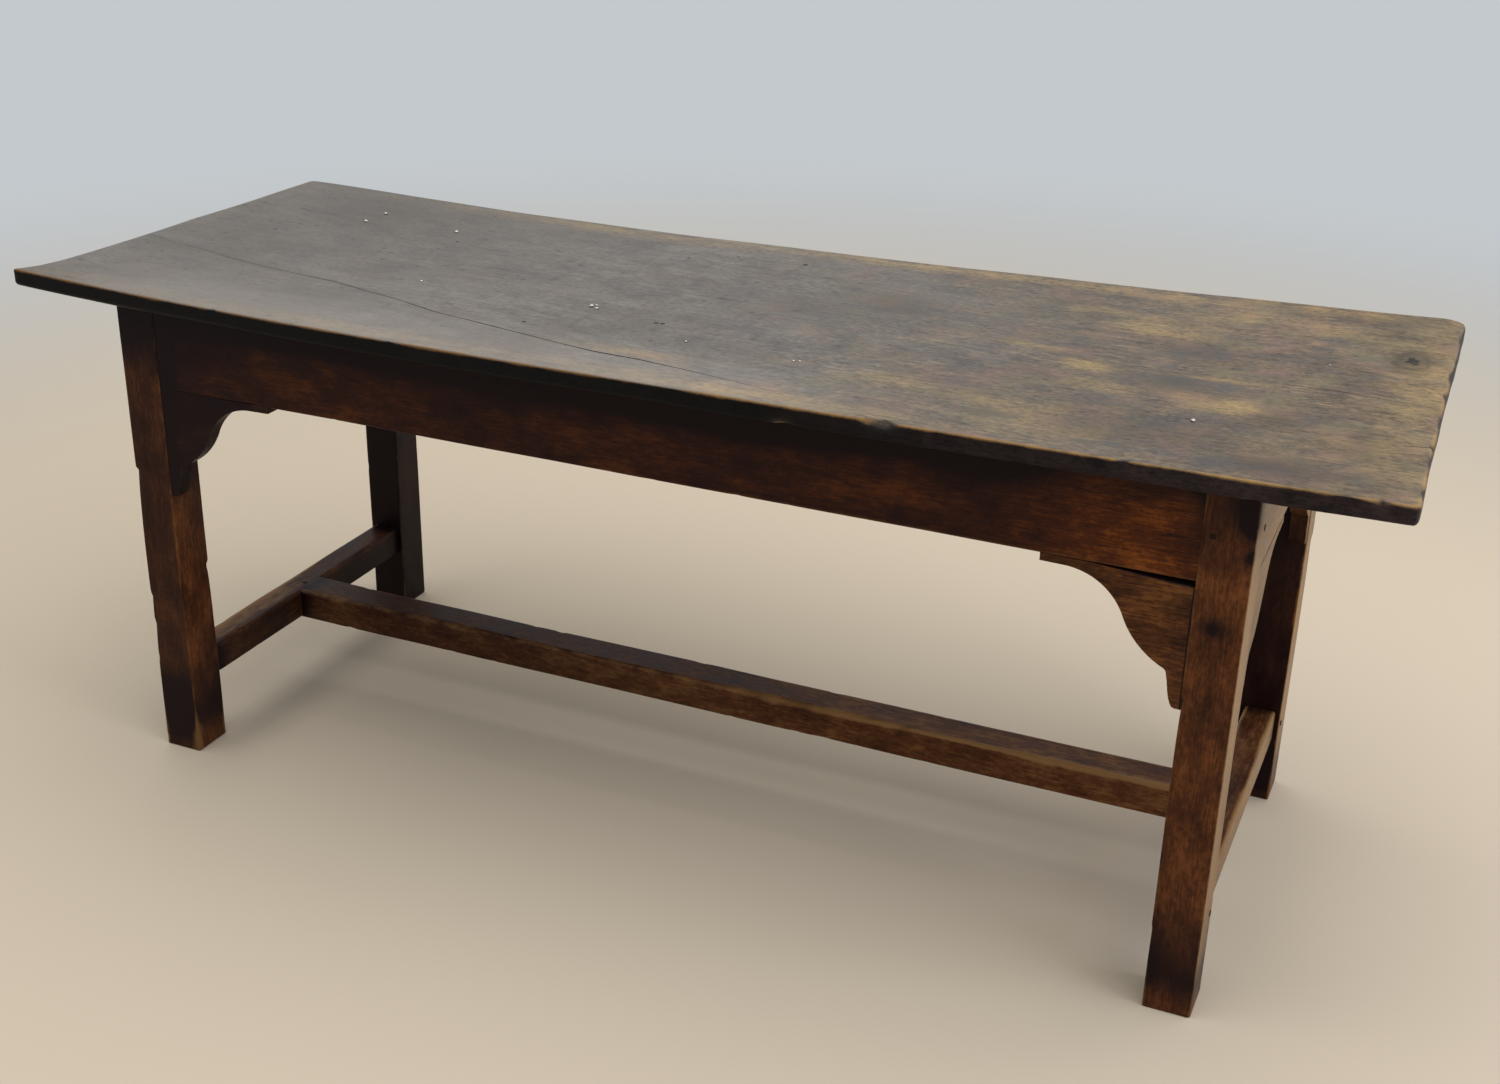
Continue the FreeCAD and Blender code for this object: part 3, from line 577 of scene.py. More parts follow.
# Pegs: riven oak, eight sided and slightly tapered, driven through each joint and trimmed near flush.
# Their end grain has drunk more stain and soot than the faces round it, so they read as dark spots.
# The blind pegs under the plank are hidden, and stay as the CAD solids.
PEG_DIAMETER = 0.0095
PEG_LENGTH = 0.042
PEG_BEVEL = 0.0012
# Riven oak, end grain outwards: dry and nearly black, with hardly a line
peg_oak = waxed_oak(
    "riven oak, peg", GRAIN_ALONG_Z, ("#0d0806", "#1c110b", "#34200f"), "#3a2414", 0.4, 1.0, 8)
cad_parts["top_pegs"].data.materials.clear()
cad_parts["top_pegs"].data.materials.append(peg_oak)

pegs_tree = bpy.data.node_groups.new("riven pegs", "GeometryNodeTree")
PEG_INPUTS = {
    "Heads": ("NodeSocketGeometry", None), "Diameter": ("NodeSocketFloat", PEG_DIAMETER),
    "Length": ("NodeSocketFloat", PEG_LENGTH), "Bevel": ("NodeSocketFloat", PEG_BEVEL),
    "Seed": ("NodeSocketInt", 4), "Oak": ("NodeSocketMaterial", peg_oak),
}
for name, (kind, value) in PEG_INPUTS.items():
    pegs_tree.interface.new_socket(name, in_out="INPUT", socket_type=kind)
pegs_tree.interface.new_socket("Pegs", in_out="OUTPUT", socket_type="NodeSocketGeometry")
given = node(pegs_tree, "NodeGroupInput", out=None)
# A shank drawn down from the head, an eighth thinner at its point, with the head's rim bevelled
radius = node(pegs_tree, "ShaderNodeMath", (given["Diameter"], 0.5), operation="MULTIPLY")
depth = node(pegs_tree, "ShaderNodeMath", (given["Length"], -1.0), operation="MULTIPLY")
tip = node(pegs_tree, "ShaderNodeCombineXYZ", {"Z": depth})
line = node(pegs_tree, "GeometryNodeCurvePrimitiveLine", {"Start": (0, 0, 0), "End": tip})
line = node(pegs_tree, "GeometryNodeResampleCurve", {"Curve": line, "Count": 36})
share = node(pegs_tree, "GeometryNodeSplineParameter", out=None)
taper = node(pegs_tree, "ShaderNodeMath", (share["Factor"], -0.12, 1.0), operation="MULTIPLY_ADD")
bevel = node(pegs_tree, "ShaderNodeMapRange", (share["Length"], 0.0, given["Bevel"], 0.78, 1.0))
girth = node(pegs_tree, "ShaderNodeMath", (taper, bevel), operation="MULTIPLY")
ring = node(pegs_tree, "GeometryNodeCurvePrimitiveCircle", {"Resolution": 8, "Radius": radius})
shank = node(pegs_tree, "GeometryNodeCurveToMesh", {
    "Curve": line, "Profile Curve": ring, "Scale": girth, "Fill Caps": True})
# Each stands up to 1.4 mm proud, and is turned as it came to hand
driven = node(pegs_tree, "GeometryNodeInputNamedAttribute", {"Name": "outward"}, data_type="FLOAT_VECTOR")
proud, spin = (node(pegs_tree, "FunctionNodeRandomValue", {
    2: least, 3: most, "Seed": given["Seed"]}, out=1, data_type="FLOAT")
    for least, most in ((0.0002, 0.0014), (0.0, 0.8)))
lift = node(pegs_tree, "ShaderNodeVectorMath", {0: driven, "Scale": proud}, operation="SCALE")
heads = node(pegs_tree, "GeometryNodeSetPosition", {"Geometry": given["Heads"], "Offset": lift})
facing = node(pegs_tree, "FunctionNodeAlignRotationToVector", {"Vector": driven}, axis="Z")
spun = node(pegs_tree, "FunctionNodeAxisAngleToRotation", {"Axis": (0, 0, 1), "Angle": spin})
facing = node(pegs_tree, "FunctionNodeRotateRotation", (facing, spun), rotation_space="LOCAL")
pegs = node(pegs_tree, "GeometryNodeInstanceOnPoints", {
    "Points": heads, "Instance": shank, "Rotation": facing})
pegs = node(pegs_tree, "GeometryNodeRealizeInstances", (pegs,))
pegs = node(pegs_tree, "GeometryNodeSetMaterial", {"Geometry": pegs, "Material": given["Oak"]})
node(pegs_tree, "NodeGroupOutput", {"Pegs": pegs}, out=None)

leg_face_x, leg_face_y = leg_high.x, -leg_low.y
rail_peg_z = sum(corner.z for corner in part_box("long_rail_pegs")) / 2
low_peg_z = sum(corner.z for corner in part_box("stretcher_pegs")) / 2
long_peg_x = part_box("long_rail_pegs")[1].x - PEG_DIAMETER / 2
end_peg_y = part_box("end_rail_pegs")[1].y - PEG_DIAMETER / 2
centre_peg_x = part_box("centre_stretcher_pegs")[1].x - PEG_DIAMETER / 2
stretcher_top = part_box("centre_stretcher_pegs")[1].z
CORNERS = [(side_x, side_y) for side_x in (-1, 1) for side_y in (-1, 1)]
PEGS = {
    "long_rail_pegs": [((i * long_peg_x, j * leg_face_y, rail_peg_z), (0, j, 0)) for i, j in CORNERS],
    "end_rail_pegs": [((i * leg_face_x, j * end_peg_y, rail_peg_z), (i, 0, 0)) for i, j in CORNERS],
    "stretcher_pegs": [((i * leg_face_x, j * end_peg_y, low_peg_z), (i, 0, 0)) for i, j in CORNERS],
    "centre_stretcher_pegs": [((i * centre_peg_x, 0, stretcher_top), (0, 0, 1)) for i in (-1, 1)],
}
for number, (group, places) in enumerate(PEGS.items()):
    heads_mesh = bpy.data.meshes.new(group + "_heads")
    heads_mesh.from_pydata([place for place, way in places], [], [])
    outward = heads_mesh.attributes.new("outward", "FLOAT_VECTOR", "POINT")
    outward.data.foreach_set("vector", [c for place, way in places for c in way])
    driver = placed(group + "_heads", heads_mesh)
    modifier = driver.modifiers.new("riven pegs", "NODES")
    modifier.node_group = pegs_tree
    for socket in pegs_tree.interface.items_tree:
        if socket.in_out == "INPUT" and socket.name != "Heads":
            value = PEG_INPUTS[socket.name][1]
            modifier[socket.identifier] = number + 1 if socket.name == "Seed" else value
    driver.update_tag()
    graph = bpy.context.evaluated_depsgraph_get()
    peg_mesh = bpy.data.meshes.new_from_object(driver.evaluated_get(graph))
    driver.modifiers.clear()
    bpy.data.objects.remove(driver)
    piece = placed(group + "_riven", peg_mesh)
    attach(piece, "root")
    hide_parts(group)


# Plank: one wide oak board, an inch thick, wider at the right, held by blind pegs in the rails.
# It has cupped and sagged, split along a shake from the left, and lost chips from its front edge.
# The upper face is grey from wax and scrubbing, with a pale painted sheen at the front of the left half,
# and ochre wood showing towards the right.
PLANK_ARRIS_MM = (4.0, 3.0, 6.0, 6.0)
PLANK_END_ROUND_MM = 5.0
# The plan's rounded corners, front and back, at the left end and at the right
LEFT_CORNERS = (0.004, 0.012)
RIGHT_CORNERS = (0.009, 0.038)
BACK_LEFT, BACK_RIGHT = 0.327, 0.375
plank_low, plank_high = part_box("top_plank")
plank_left, plank_right, plank_front = plank_low.x, plank_high.x, plank_low.y
plank_half = (plank_high.z - plank_low.z) / 2
plank_middle = (plank_high.z + plank_low.z) / 2
# The ends as they were sawn by eye: (share of the width from the front, x)
LEFT_SAWN = ((0.0, -0.973), (0.015, -0.967), (0.055, -0.958), (0.12, -0.953), (0.36, -0.953),
             (0.54, -0.953), (0.8, -0.943), (1.0, -0.934))
RIGHT_SAWN = ((0.0, 0.986), (0.25, 0.981), (0.6, 0.977), (1.0, 0.976))


def plank_back(x):
    return BACK_LEFT + (BACK_RIGHT - BACK_LEFT) * (x - plank_left) / (plank_right - plank_left)


def plank_end(sawn, share):
    return float(np.interp(share, [place for place, x in sawn], [x for place, x in sawn]))


def plank_section(t):
    insets = [0.0, 0.0]
    for gone, corners in ((t - plank_left, LEFT_CORNERS), (plank_right - t, RIGHT_CORNERS)):
        for edge, corner in enumerate(corners):
            if gone < corner:
                insets[edge] = corner - math.sqrt(max(0, corner ** 2 - (corner - gone) ** 2))
    front, back = plank_front + insets[0], plank_back(t) - insets[1]
    return ((back + front) / 2, (back - front) / 2), (plank_middle, plank_half)


# Chips: place along the front edge, upper or lower corner, width and depth
CHIPS = ((0.368, 1, 0.028, 0.0095), (0.350, 1, 0.012, 0.005), (0.240, -1, 0.018, 0.005),
         (-0.62, 1, 0.012, 0.003), (-0.33, 1, 0.010, 0.0025), (0.66, 1, 0.014, 0.003),
         (0.81, -1, 0.012, 0.003), (0.945, 1, 0.016, 0.004))
# Nicks in the upper corner of the right end: place across it, width and depth
END_NICKS = ((-0.31, 0.03, 0.0015), (-0.2, 0.05, 0.001), (-0.147, 0.014, 0.003), (-0.05, 0.06, 0.0015),
             (0.05, 0.025, 0.0025), (0.13, 0.06, 0.002), (0.19, 0.02, 0.001), (0.29, 0.05, 0.0015))
CHIP_REACH = 0.006
CHIP_SLOPE = 0.6        # how far a chip goes down for each step in


def bite(off_centre, width, inward, off_level):
    """How much of a chip's depth is gone at a point."""
    return (math.exp(-(off_centre / (0.45 * width)) ** 2) * math.exp(-(max(0, inward) / CHIP_REACH) ** 2)
            * math.exp(-(off_level / CHIP_REACH) ** 2))


def weathered(point):
    """A point of the straight plank, moved to the sawn ends, the wavy edges, the chips and the warp."""
    x, y, z = point
    along = (x - plank_left) / (plank_right - plank_left)
    over = (y - plank_front) / (plank_back(x) - plank_front)
    y += (1 - over) * 0.0013 * drift((x, 0, 0), 170, 51) + over * 0.0018 * drift((x, 0, 0), 140, 52)
    y -= 0.011 * over ** 4 * math.exp(-(x - plank_left) / 0.05)
    x += smooth_step(0.35, 0.0, along) * (plank_end(LEFT_SAWN, over) - plank_left)
    x += smooth_step(0.65, 1.0, along) * (plank_end(RIGHT_SAWN, over) - plank_right)
    x += 0.0012 * along * drift((y, 0, 0), 60, 53) - 0.001 * (1 - along) * drift((y, 0, 0), 80, 54)
    for spot, upper, width, depth in CHIPS:
        lost = depth * bite(x - spot, width, y - plank_front, z - plank_middle - upper * plank_half)
        y += lost
        z -= CHIP_SLOPE * upper * lost
    for spot, width, depth in END_NICKS:
        lost = depth * bite(y - spot, width, plank_end(RIGHT_SAWN, over) - x, z - plank_middle - plank_half)
        x -= lost
        z -= CHIP_SLOPE * lost
    return x, y, z + plank_lift(x, y)


points, faces = worn_bar(
    0, plank_left, plank_right, plank_section, PLANK_ARRIS_MM, 50, spacing_mm=(7, 8),
    end_round_mm=PLANK_END_ROUND_MM, nick_mm=2)[:2]
plank = placed("top_plank_board", closed_mesh("top_plank_board", [weathered(p) for p in points], faces))

# Shakes, as (x, y, width) in millimetres on the plan with their depth: the long one and two short ones
SHAKES = (
    (((-940, -96, 1.0), (-832, -111, 1.3), (-739, -131, 1.5), (-664, -140, 1.6), (-567, -149, 1.9),
      (-428, -182, 2.3), (-355, -207, 2.6), (-192, -240, 3.2), (-128, -254, 3.8), (-74, -264, 4.2),
      (-7, -268, 4.4), (68, -280, 3.8), (136, -293, 2.6), (178, -303, 1.8), (215, -313, 0.8)), 7),
    (((770, 14, 0.8), (850, 13, 3.4), (935, 0, 1.0)), 5),
    (((905, -171, 0.6), (945, -160, 2.2), (995, -147, 3.0)), 6),
)
SHAKE_STEP_MM = 9
BLADE_ABOVE = 0.003        # how far each cutting wedge stands out of the plank
shake_line = []
for number, (corners, depth_mm) in enumerate(SHAKES):
    spans = [math.dist(a[:2], b[:2]) for a, b in zip(corners, corners[1:])]
    count = round(sum(spans) / SHAKE_STEP_MM)
    reach = np.linspace(0, sum(spans), count + 1)
    knots = np.concatenate([[0], np.cumsum(spans)])
    xs, ys, widths = (np.interp(reach, knots, values) / 1000 for values in zip(*corners))
    blade = []
    for step, (x, y, width) in enumerate(zip(xs, ys, widths)):
        y += 0.0006 * drift((x, 0, 0), 50, 60 + number)
        swell = math.sin(math.pi * min(0.96, max(0.04, step / count))) ** 0.7
        wide = width / 2 * (0.9 + 0.4 * drift((x, 0, 0), 70, 70 + number))
        top = plank_high.z + plank_lift(x, y)
        blade += [(x, y - wide, top + BLADE_ABOVE), (x, y + wide, top + BLADE_ABOVE),
                  (x, y, top - depth_mm / 1000 * swell)]
        shake_line.append((x, y))
    sides = [(0, 2, 1), (3 * count, 3 * count + 1, 3 * count + 2)]
    for near in range(0, 3 * count, 3):
        sides += [(near + i, near + (i + 1) % 3, near + 3 + (i + 1) % 3, near + 3 + i) for i in range(3)]
    cut = plank.modifiers.new("shake", "BOOLEAN")
    cut.operation, cut.solver = "DIFFERENCE", "EXACT"
    cut.object = placed("shake", closed_mesh("shake", blade, sides))
graph = bpy.context.evaluated_depsgraph_get()
split_mesh = bpy.data.meshes.new_from_object(plank.evaluated_get(graph))
cutters = [modifier.object for modifier in plank.modifiers]
plank.modifiers.clear()
plank.data = split_mesh
for cutter in cutters:
    bpy.data.objects.remove(cutter)

# Stains on the upper face, as (x, y, half length, half width, strength), in millimetres on the plan:
# ochre where the surface is rubbed through to the wood, and dark where ink, oil or water has soaked in
OCHRE = ((535, -27, 27, 18, 1.0), (521, -15, 34, 12, 0.6), (444, 27, 60, 10, 0.6), (595, 170, 75, 42, 0.6),
         (739, -105, 38, 28, 0.9), (715, -100, 60, 36, 0.4), (710, -7, 45, 8, 0.6),
         (564, -98, 45, 22, 0.55), (505, -224, 60, 40, 0.5), (335, -205, 80, 30, 0.4),
         (690, 276, 130, 36, 0.4), (815, 270, 60, 36, 0.45), (946, 136, 34, 36, 0.8),
         (958, 60, 30, 60, 0.5), (968, -60, 24, 120, 0.5),
         (950, 60, 55, 420, 0.45), (487, 228, 120, 24, 0.25), (300, 335, 500, 22, 0.5),
         (800, 352, 150, 18, 0.5), (-350, 318, 300, 20, 0.35), (-25, -246, 70, 14, 0.6),
         (150, -332, 300, 26, 0.55), (-420, -335, 420, 24, 0.3), (860, -200, 60, 50, 0.3),
         (520, -290, 90, 40, 0.35))
GLOOM = ((215, 130, 90, 70, 0.45), (650, -50, 60, 42, 0.6), (815, -300, 70, 36, 0.7),
         (600, -270, 80, 40, 0.5), (650, 100, 50, 46, 0.5), (-535, -42, 46, 40, 0.4),
         (-565, -215, 90, 32, 0.25), (-835, -120, 90, 30, 0.2), (-175, -290, 60, 26, 0.2),
         (805, 178, 16, 9, 0.5), (466, -261, 22, 10, 0.5), (100, 60, 120, 60, 0.3), (880, 330, 60, 22, 0.4),
         (920, -300, 40, 40, 0.4), (-600, 260, 260, 90, 0.25), (790, -130, 40, 40, 0.5),
         (905, -200, 50, 60, 0.5), (-850, 10, 80, 120, 0.2), (700, -240, 120, 50, 0.35))


def stain(spots, x, y):
    """The strongest of those stains at a point of the plan."""
    return max(strength * math.exp(-((x * 1000 - at_x) / long) ** 2 - ((y * 1000 - at_y) / wide) ** 2)
               for at_x, at_y, long, wide, strength in spots)


shake_points = np.array(shake_line)


def from_shake(x, y):
    return np.min(np.hypot(shake_points[:, 0] - x, shake_points[:, 1] - y))


marks = {"wear": [], "rim": [], "under": [], "ochre": [], "gloom": [], "painted_sheen": []}
for vertex in split_mesh.vertices:
    x, y, z = vertex.co
    below = plank_high.z + plank_lift(x, y) - z
    over = min(1, max(0, (y - plank_front) / (plank_back(x) - plank_front)))
    side_edge = max(0, min(y - plank_front, plank_back(x) - y))
    to_right, to_back = plank_end(RIGHT_SAWN, over) - x, plank_back(x) - y
    edge = max(0, min(side_edge, x - plank_end(LEFT_SAWN, over), to_right))
    if max(to_right, to_back) < RIGHT_CORNERS[1]:
        corner = math.hypot(RIGHT_CORNERS[1] - to_right, RIGHT_CORNERS[1] - to_back)
        edge = max(0, min(edge, RIGHT_CORNERS[1] - corner))
    from_top = max(0, below)
    from_foot = max(0, 2 * plank_half - below)
    from_front = max(0, y - plank_front)
    # All corners are rubbed: the upper ones at the sides more, and those at the front and the right most
    rubbing = 0.6 * math.exp(-(edge + from_top) / 0.004) + 0.4 * math.exp(-(side_edge + from_top) / 0.0045)
    rubbing += 0.3 * math.exp(-(from_front + from_top) / 0.003)
    rubbing += 0.3 * math.exp(-(edge + from_foot) / 0.004)
    rubbing += 0.7 * math.exp(-(max(0, to_right) + from_top) / 0.008) * smooth_step(0.2, 0.1, y)
    # The deeper chips show raw wood
    splintered = 0.0
    for spot, upper, width, depth in CHIPS:
        broken_away = ((x - spot + 0.2 * width) / (0.6 * width)) ** 2 + (from_front / 0.012) ** 2
        broken_away += (from_top / 0.008) ** 2 if upper > 0 else (from_foot / 0.005) ** 2
        splintered = max(splintered, smooth_step(0.003, 0.005, depth) * math.exp(-broken_away))
    marks["wear"].append(rubbing + splintered)
    # Painted shade and soot: the sides below the top are painted near black
    rim = smooth_step(0.0006, 0.002, from_top) * smooth_step(0.012, 0.006, edge)
    marks["rim"].append(rim * (1 - 0.3 * splintered))
    marks["under"].append(1.0 if from_foot < 0.002 and edge > 0.006 else 0.0)
    marks["ochre"].append(stain(OCHRE, x, y))
    along_shake = 0.35 * math.exp(-(from_shake(x, y) / 0.009) ** 2) * smooth_step(-0.3, -0.6, x)
    marks["gloom"].append(max(along_shake, stain(GLOOM, x, y)))
    # Where the painted sheen lies: the front of the left half
    marks["painted_sheen"].append(
        smooth_step(-0.16, -0.32, y) * smooth_step(-0.95, -0.75, x) * smooth_step(0.45, 0.0, x))
mark_use(split_mesh, marks)
# The walls of the shakes are painted black: dirt in the crack, and painted shade
inside_shake = []
for face in split_mesh.polygons:
    x, y, z = face.center
    deep = 0.0006 < plank_high.z + plank_lift(x, y) - z < 0.012
    inside_shake.append(1.0 if deep and from_shake(x, y) < 0.006 and abs(face.normal.z) < 0.9 else 0.0)
split_mesh.attributes.new("shake", "FLOAT", "FACE").data.foreach_set("value", inside_shake)

# Plain sawn oak, scrubbed and waxed: fine broken grain and faint long loops, under a pale painted sheen at
# the front of the left half, with ochre wood at the right
plank_oak, tree, shader = new_material("plain sawn oak, scrubbed top")
place = node(tree, "ShaderNodeTexCoord", out="Object")
along_x = node(tree, "ShaderNodeSeparateXYZ", (place,), out="X")
# The grain sways to either side by up to 35 mm, over lengths of about 450 mm
sway = node(tree, "ShaderNodeTexNoise", {"Vector": place, "Scale": 2.2, "Detail": 1}, out=1)
sway = node(tree, "ShaderNodeVectorMath", (sway, (0.5, 0.5, 0.5)), operation="SUBTRACT")
sway = node(tree, "ShaderNodeVectorMath", (sway, (0, 0.07, 0)), operation="MULTIPLY")
swayed = node(tree, "ShaderNodeVectorMath", (place, sway), operation="ADD")
fibre, broken, board = (node(tree, "ShaderNodeMapping", {"Vector": swayed, "Scale": (stretch, 1, 1)})
                        for stretch in (0.05, 0.4, 0.85))
heart = node(tree, "ShaderNodeMapping", {
    "Vector": swayed, "Scale": (0.16, 1, 0), "Location": (0.02, -0.03, 0)})
# Grain lines are drawn 2.6 mm wide and its dashes 4 mm, several times their real width, so that they show.
# The mottle of wax over them is 50 mm wide
lines, dashes, mottle = (
    node(tree, "ShaderNodeTexNoise", {
        "Vector": lie, "Scale": 1000 / size_mm, "Detail": detail, "Roughness": roughness})
    for lie, size_mm, detail, roughness in ((fibre, 2.6, 2, 0.5), (broken, 4, 4, 0.7), (board, 50, 8, 0.7)))
# Growth rings cut slantwise show as long loops: level lines of a slow swell, about 13 mm apart
swell = node(tree, "ShaderNodeTexNoise", {"Vector": heart, "Scale": 1000 / 250, "Detail": 1.5})
loops = node(tree, "ShaderNodeMath", (swell, 150), operation="MULTIPLY")
loops = node(tree, "ShaderNodeMath", (loops,), operation="SINE")
grain_shares = ((lines, 0.26), (dashes, 0.52), (mottle, 0.52))
tone = 0.5 * (1 - sum(share for layer, share in grain_shares))
for layer, share in (*grain_shares, (loops, 0.014)):
    tone = node(tree, "ShaderNodeMath", (layer, share, tone), operation="MULTIPLY_ADD")
# The left half is smoother: its grain is painted fainter, as a sheen of reflected light would wash it out
busy = node(tree, "ShaderNodeMapRange", (along_x, -0.7, 0.2, 0.5, 1.0))
tone = node(tree, "ShaderNodeMath", (tone, 0.5), operation="SUBTRACT")
tone = node(tree, "ShaderNodeMath", (tone, busy, 0.5), operation="MULTIPLY_ADD")
grey, brown, raw, sooty_and_shaded, dusty = (node(tree, "ShaderNodeValToRGB", (tone,), stops) for stops in (
    ((0.33, "#575452"), (0.5, "#706d6a"), (0.67, "#83807c")),
    ((0.33, "#382f28"), (0.5, "#665a4e"), (0.67, "#8a7864")),
    ((0.38, "#4a3a2b"), (0.64, "#7c6850")),
    ((0.38, "#070606"), (0.66, "#171313")),
    ((0.38, "#191314"), (0.66, "#3d3031"))))
right = node(tree, "ShaderNodeMapRange", (along_x, -0.15, 0.95, -0.5, 0.5))
warmth = node(tree, "ShaderNodeMath", (mottle, 1.2, right), operation="MULTIPLY_ADD")
warmth = node(tree, "ShaderNodeMapRange", (warmth, 0.3, 1.0))
wood_layers = [(warmth, brown)]

# Patches of stale wax, 70 mm across, tint it olive, pinkish and slate; they show most towards the right
tints = node(tree, "ShaderNodeTexNoise", {
    "Vector": board, "Scale": 1000 / 70, "Detail": 6, "Roughness": 0.62}, out=1)
tints = node(tree, "ShaderNodeSeparateColor", (tints,), out=None)
strength = node(tree, "ShaderNodeMapRange", (along_x, -0.2, 0.6, 0.14, 0.65))
for channel, code in (("Red", "#777059"), ("Green", "#846b63"), ("Blue", "#555759")):
    tinted = node(tree, "ShaderNodeMapRange", (tints[channel], 0.5, 0.68, 0.0, strength))
    wood_layers.append((tinted, paint(code)))
colour = grey
for share, layer in wood_layers:
    colour = node(tree, "ShaderNodeMix", {0: share, 6: colour, 7: layer}, out=2, data_type="RGBA")
# Grain and clouds of haze 250 mm across darken and lighten all of it
grainy = node(tree, "ShaderNodeMapRange", (tone, 0.3, 0.7, 0.76, 1.24))
clouds = node(tree, "ShaderNodeTexNoise", {"Vector": board, "Scale": 1000 / 250, "Detail": 2})
cloudy = node(tree, "ShaderNodeMapRange", (clouds, 0.3, 0.7, 0.86, 1.14))
grainy = node(tree, "ShaderNodeMath", (grainy, cloudy), operation="MULTIPLY")
colour = node(tree, "ShaderNodeVectorMath", {0: colour, "Scale": grainy}, operation="SCALE")

gloom, ochre, painted_sheen, under, rim, wear, in_shake = (
    node(tree, "ShaderNodeAttribute", out="Fac", attribute_name=mark)
    for mark in ("gloom", "ochre", "painted_sheen", "under", "rim", "wear", "shake"))
# Specks of dirt in open pores, drawn 4 to 8 mm long so that they show
specks = node(tree, "ShaderNodeTexNoise", {"Vector": broken, "Scale": 1000 / 7, "Detail": 1})
specks = node(tree, "ShaderNodeMapRange", (specks, 0.68, 0.76, 0.0, 0.55))
marks_of_use = [(specks, paint("#2a2522"))]
patchy = node(tree, "ShaderNodeMapRange", (tone, 0.4, 0.6, 0.3, 1.35))
for found, code, strength in ((gloom, "#34322f", 0.75), (ochre, "#b89e6c", 0.8)):
    found = node(tree, "ShaderNodeMath", (found, patchy), operation="MULTIPLY")
    found = node(tree, "ShaderNodeMath", (found, strength), operation="MULTIPLY", use_clamp=True)
    marks_of_use.append((found, paint(code)))
# Painted sheen: the front of the left half is painted paler grey
painted_sheen = node(tree, "ShaderNodeMath", (painted_sheen, 0.24), operation="MULTIPLY")
marks_of_use.append((painted_sheen, paint("#b3aeaa")))

# The knot near the right end: a dark eye in broken rings of darker wood, rippled over 18 mm
eye = node(tree, "ShaderNodeVectorMath", (place, (0.923, 0.170, 0.76)), operation="SUBTRACT")
ripple = node(tree, "ShaderNodeTexNoise", {"Vector": place, "Scale": 1000 / 18, "Detail": 2}, out=1)
ripple = node(tree, "ShaderNodeVectorMath", (ripple, (0.5, 0.5, 0.5)), operation="SUBTRACT")
eye = node(tree, "ShaderNodeVectorMath", (ripple, (0.03, 0.03, 0), eye), operation="MULTIPLY_ADD")
eye = node(tree, "ShaderNodeVectorMath", (eye, (22, 14, 0)), operation="MULTIPLY")
eye = node(tree, "ShaderNodeVectorMath", (eye,), out="Value", operation="LENGTH")
knot = node(tree, "ShaderNodeValToRGB", (eye,), (
    (0.0, "#ffffff"), (0.13, "#ffffff"), (0.2, "#b8b8b8"), (0.34, "#a8a8a8"), (0.42, "#c4c4c4"),
    (0.5, "#bcbcbc"), (0.6, "#888888"), (0.98, "#000000")))
broken_rings = node(tree, "ShaderNodeMapRange", (dashes, 0.38, 0.56, 0.6, 1.2))
knot = node(tree, "ShaderNodeMath", (knot, broken_rings), operation="MULTIPLY")
marks_of_use.append((knot, paint("#231f1d")))

# Nail holes, as (x, y, radius) in millimetres on the plan
HOLES = ((-220, -191, 3.5), (-54, -113, 4.0), (-45, -112, 4.0), (-526, 132, 3.0), (15, 267, 4.5),
         (-162, 221, 3.0), (-96, 261, 3.0))
plan = node(tree, "ShaderNodeVectorMath", (place, (1, 1, 0)), operation="MULTIPLY")
holes = 0.0
for x, y, radius_mm in HOLES:
    middle = (x / 1000, y / 1000, 0)
    away = node(tree, "ShaderNodeVectorMath", (plan, middle), out="Value", operation="DISTANCE")
    hole = node(tree, "ShaderNodeMapRange", (away, radius_mm / 1000, 0.8 * radius_mm / 1000, 0.0, 0.95))
    holes = node(tree, "ShaderNodeMath", (hole, holes), operation="MAXIMUM")
marks_of_use.append((holes, paint("#1b1512")))

# The underside is raw; the edges are near black, partly soot and partly painted shade, and dusty towards
# the right; the corners are rubbed; the walls of a shake are painted black, dirt and painted shade in the
# crack
farther = node(tree, "ShaderNodeMapRange", (along_x, 0.2, 0.75))
sooty_and_shaded = node(tree, "ShaderNodeMix", {0: farther, 6: sooty_and_shaded, 7: dusty}, out=2, data_type="RGBA")
rubbed = node(tree, "ShaderNodeMath", (mottle, 1.1, wear), operation="MULTIPLY_ADD")
rubbed = node(tree, "ShaderNodeMapRange", (rubbed, 1.05, 1.5, 0.0, 0.85))
arris = node(tree, "ShaderNodeMix", {
    0: warmth, 6: paint("#80603b"), 7: paint("#ae8b58")}, out=2, data_type="RGBA")
marks_of_use += [(under, raw), (rim, sooty_and_shaded), (rubbed, arris), (in_shake, paint("#120c09"))]
for share, layer in marks_of_use:
    colour = node(tree, "ShaderNodeMix", {0: share, 6: colour, 7: layer}, out=2, data_type="RGBA")

roughness = node(tree, "ShaderNodeMapRange", (mottle, 0.3, 0.7, 0.34, 0.5))
height = node(tree, "ShaderNodeMath", (dashes, 0.8, lines), operation="MULTIPLY_ADD")
bump = node(tree, "ShaderNodeBump", {"Height": height, "Strength": 0.3, "Distance": 0.0006})
fill(tree, shader, {
    "Base Color": colour, "Roughness": roughness, "Normal": bump, "Specular IOR Level": 0.1})
split_mesh.materials.clear()
split_mesh.materials.append(plank_oak)
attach(plank, "root")
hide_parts("top_plank")


